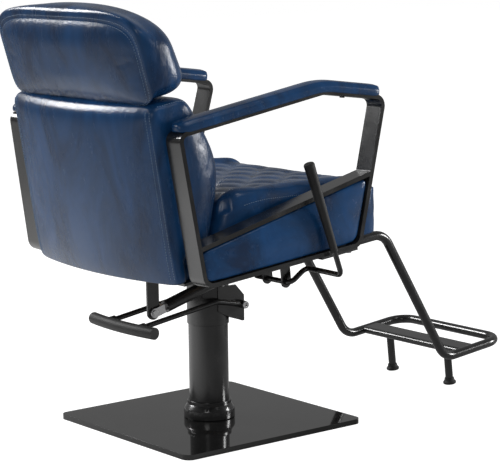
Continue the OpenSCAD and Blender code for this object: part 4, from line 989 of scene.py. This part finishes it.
def sew(name, cover, lines):
    """Sets stitches along each line of points, on the nearest place of the cover."""
    points, faces = [], []
    for line in lines:
        spare = 0.0
        for p, q in zip(line, line[1:]):
            step = q - p
            length = step.length
            if length < 1e-6:
                continue
            d = STITCH_PITCH - spare
            while d <= length:
                _, place, normal, _ = cover.closest_point_on_mesh(p + step * (d / length))
                way = (step - normal * step.dot(normal)).normalized()
                across = way.cross(normal)
                first = len(points)
                for v in stitch_shape:
                    points.append(place + normal * STITCH_LIFT + across * v.x + way * v.y + normal * v.z)
                faces += [tuple(first + i for i in f) for f in stitch_faces]
                d += STITCH_PITCH
            spare = length - (d - STITCH_PITCH)
    mesh = bpy.data.meshes.new(name)
    mesh.from_pydata(points, [], faces)
    row = bpy.data.objects.new(name, mesh)
    bpy.context.scene.collection.objects.link(row)
    only(row)
    bpy.ops.object.shade_smooth()
    row.data.materials.append(thread)
    print(name, len(points) // len(stitch_shape), "stitches")
    return row


print("one stitch has", len(stitch_faces), "faces")

# %% The sewn lines
RING_STEPS = 160


def round_headrest(inset, c, first, last):
    """A line round the headrest beside its rear seam; 0 is the lower right corner, each quarter a side."""
    line = []
    for i in range(RING_STEPS + 1):
        f = first + (last - first) * i / RING_STEPS
        k, r = int(f * 4) % 4, (f * 4) % 1
        a, b = [(-1 + 2 * r, -1), (1, -1 + 2 * r), (1 - 2 * r, 1), (-1, 1 - 2 * r)][k]
        line.append(head_place(a * (1 - inset), b * (1 - inset), c))
    return line


# One line lies just inside the seam, on the rear panel, and the other beside it, on the gusset
head_rows = [round_headrest(0.018, -1, 0.22, 1.03), round_headrest(0, -0.9, 0.24, 1.01)]
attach(sew("headrest_stitches", headrest, head_rows), "headrest")
rear_rows = []
for side in (1, -1):
    for inset in (9, 20):
        rear_rows.append([on_back(side * (BACK_HALF_W - inset), 18, 8 + 366 * i / 40) for i in range(41)])
    rear_rows.append([on_back(side * (BACK_HALF_W - 3), -4 - 84 * i / 16, 386) for i in range(17)])
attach(sew("backrest_stitches", backrest, rear_rows), "backrest")
seat_rows = []
for side in (1, -1):
    seat_rows.append([Vector((side * 264, y, seam_z(y) + 4)) / 1000 for y in range(-270, 101, 10)])
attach(sew("seat_stitches", seat, seat_rows), "chair")
print("sewn lines:", len(head_rows) + len(rear_rows) + len(seat_rows))

# %% [markdown]
# ## Last step
# The covers swell past the plain blocks a little; at the end the scene is brought up to date.

# %% Bring the scene up to date
bpy.context.view_layer.update()
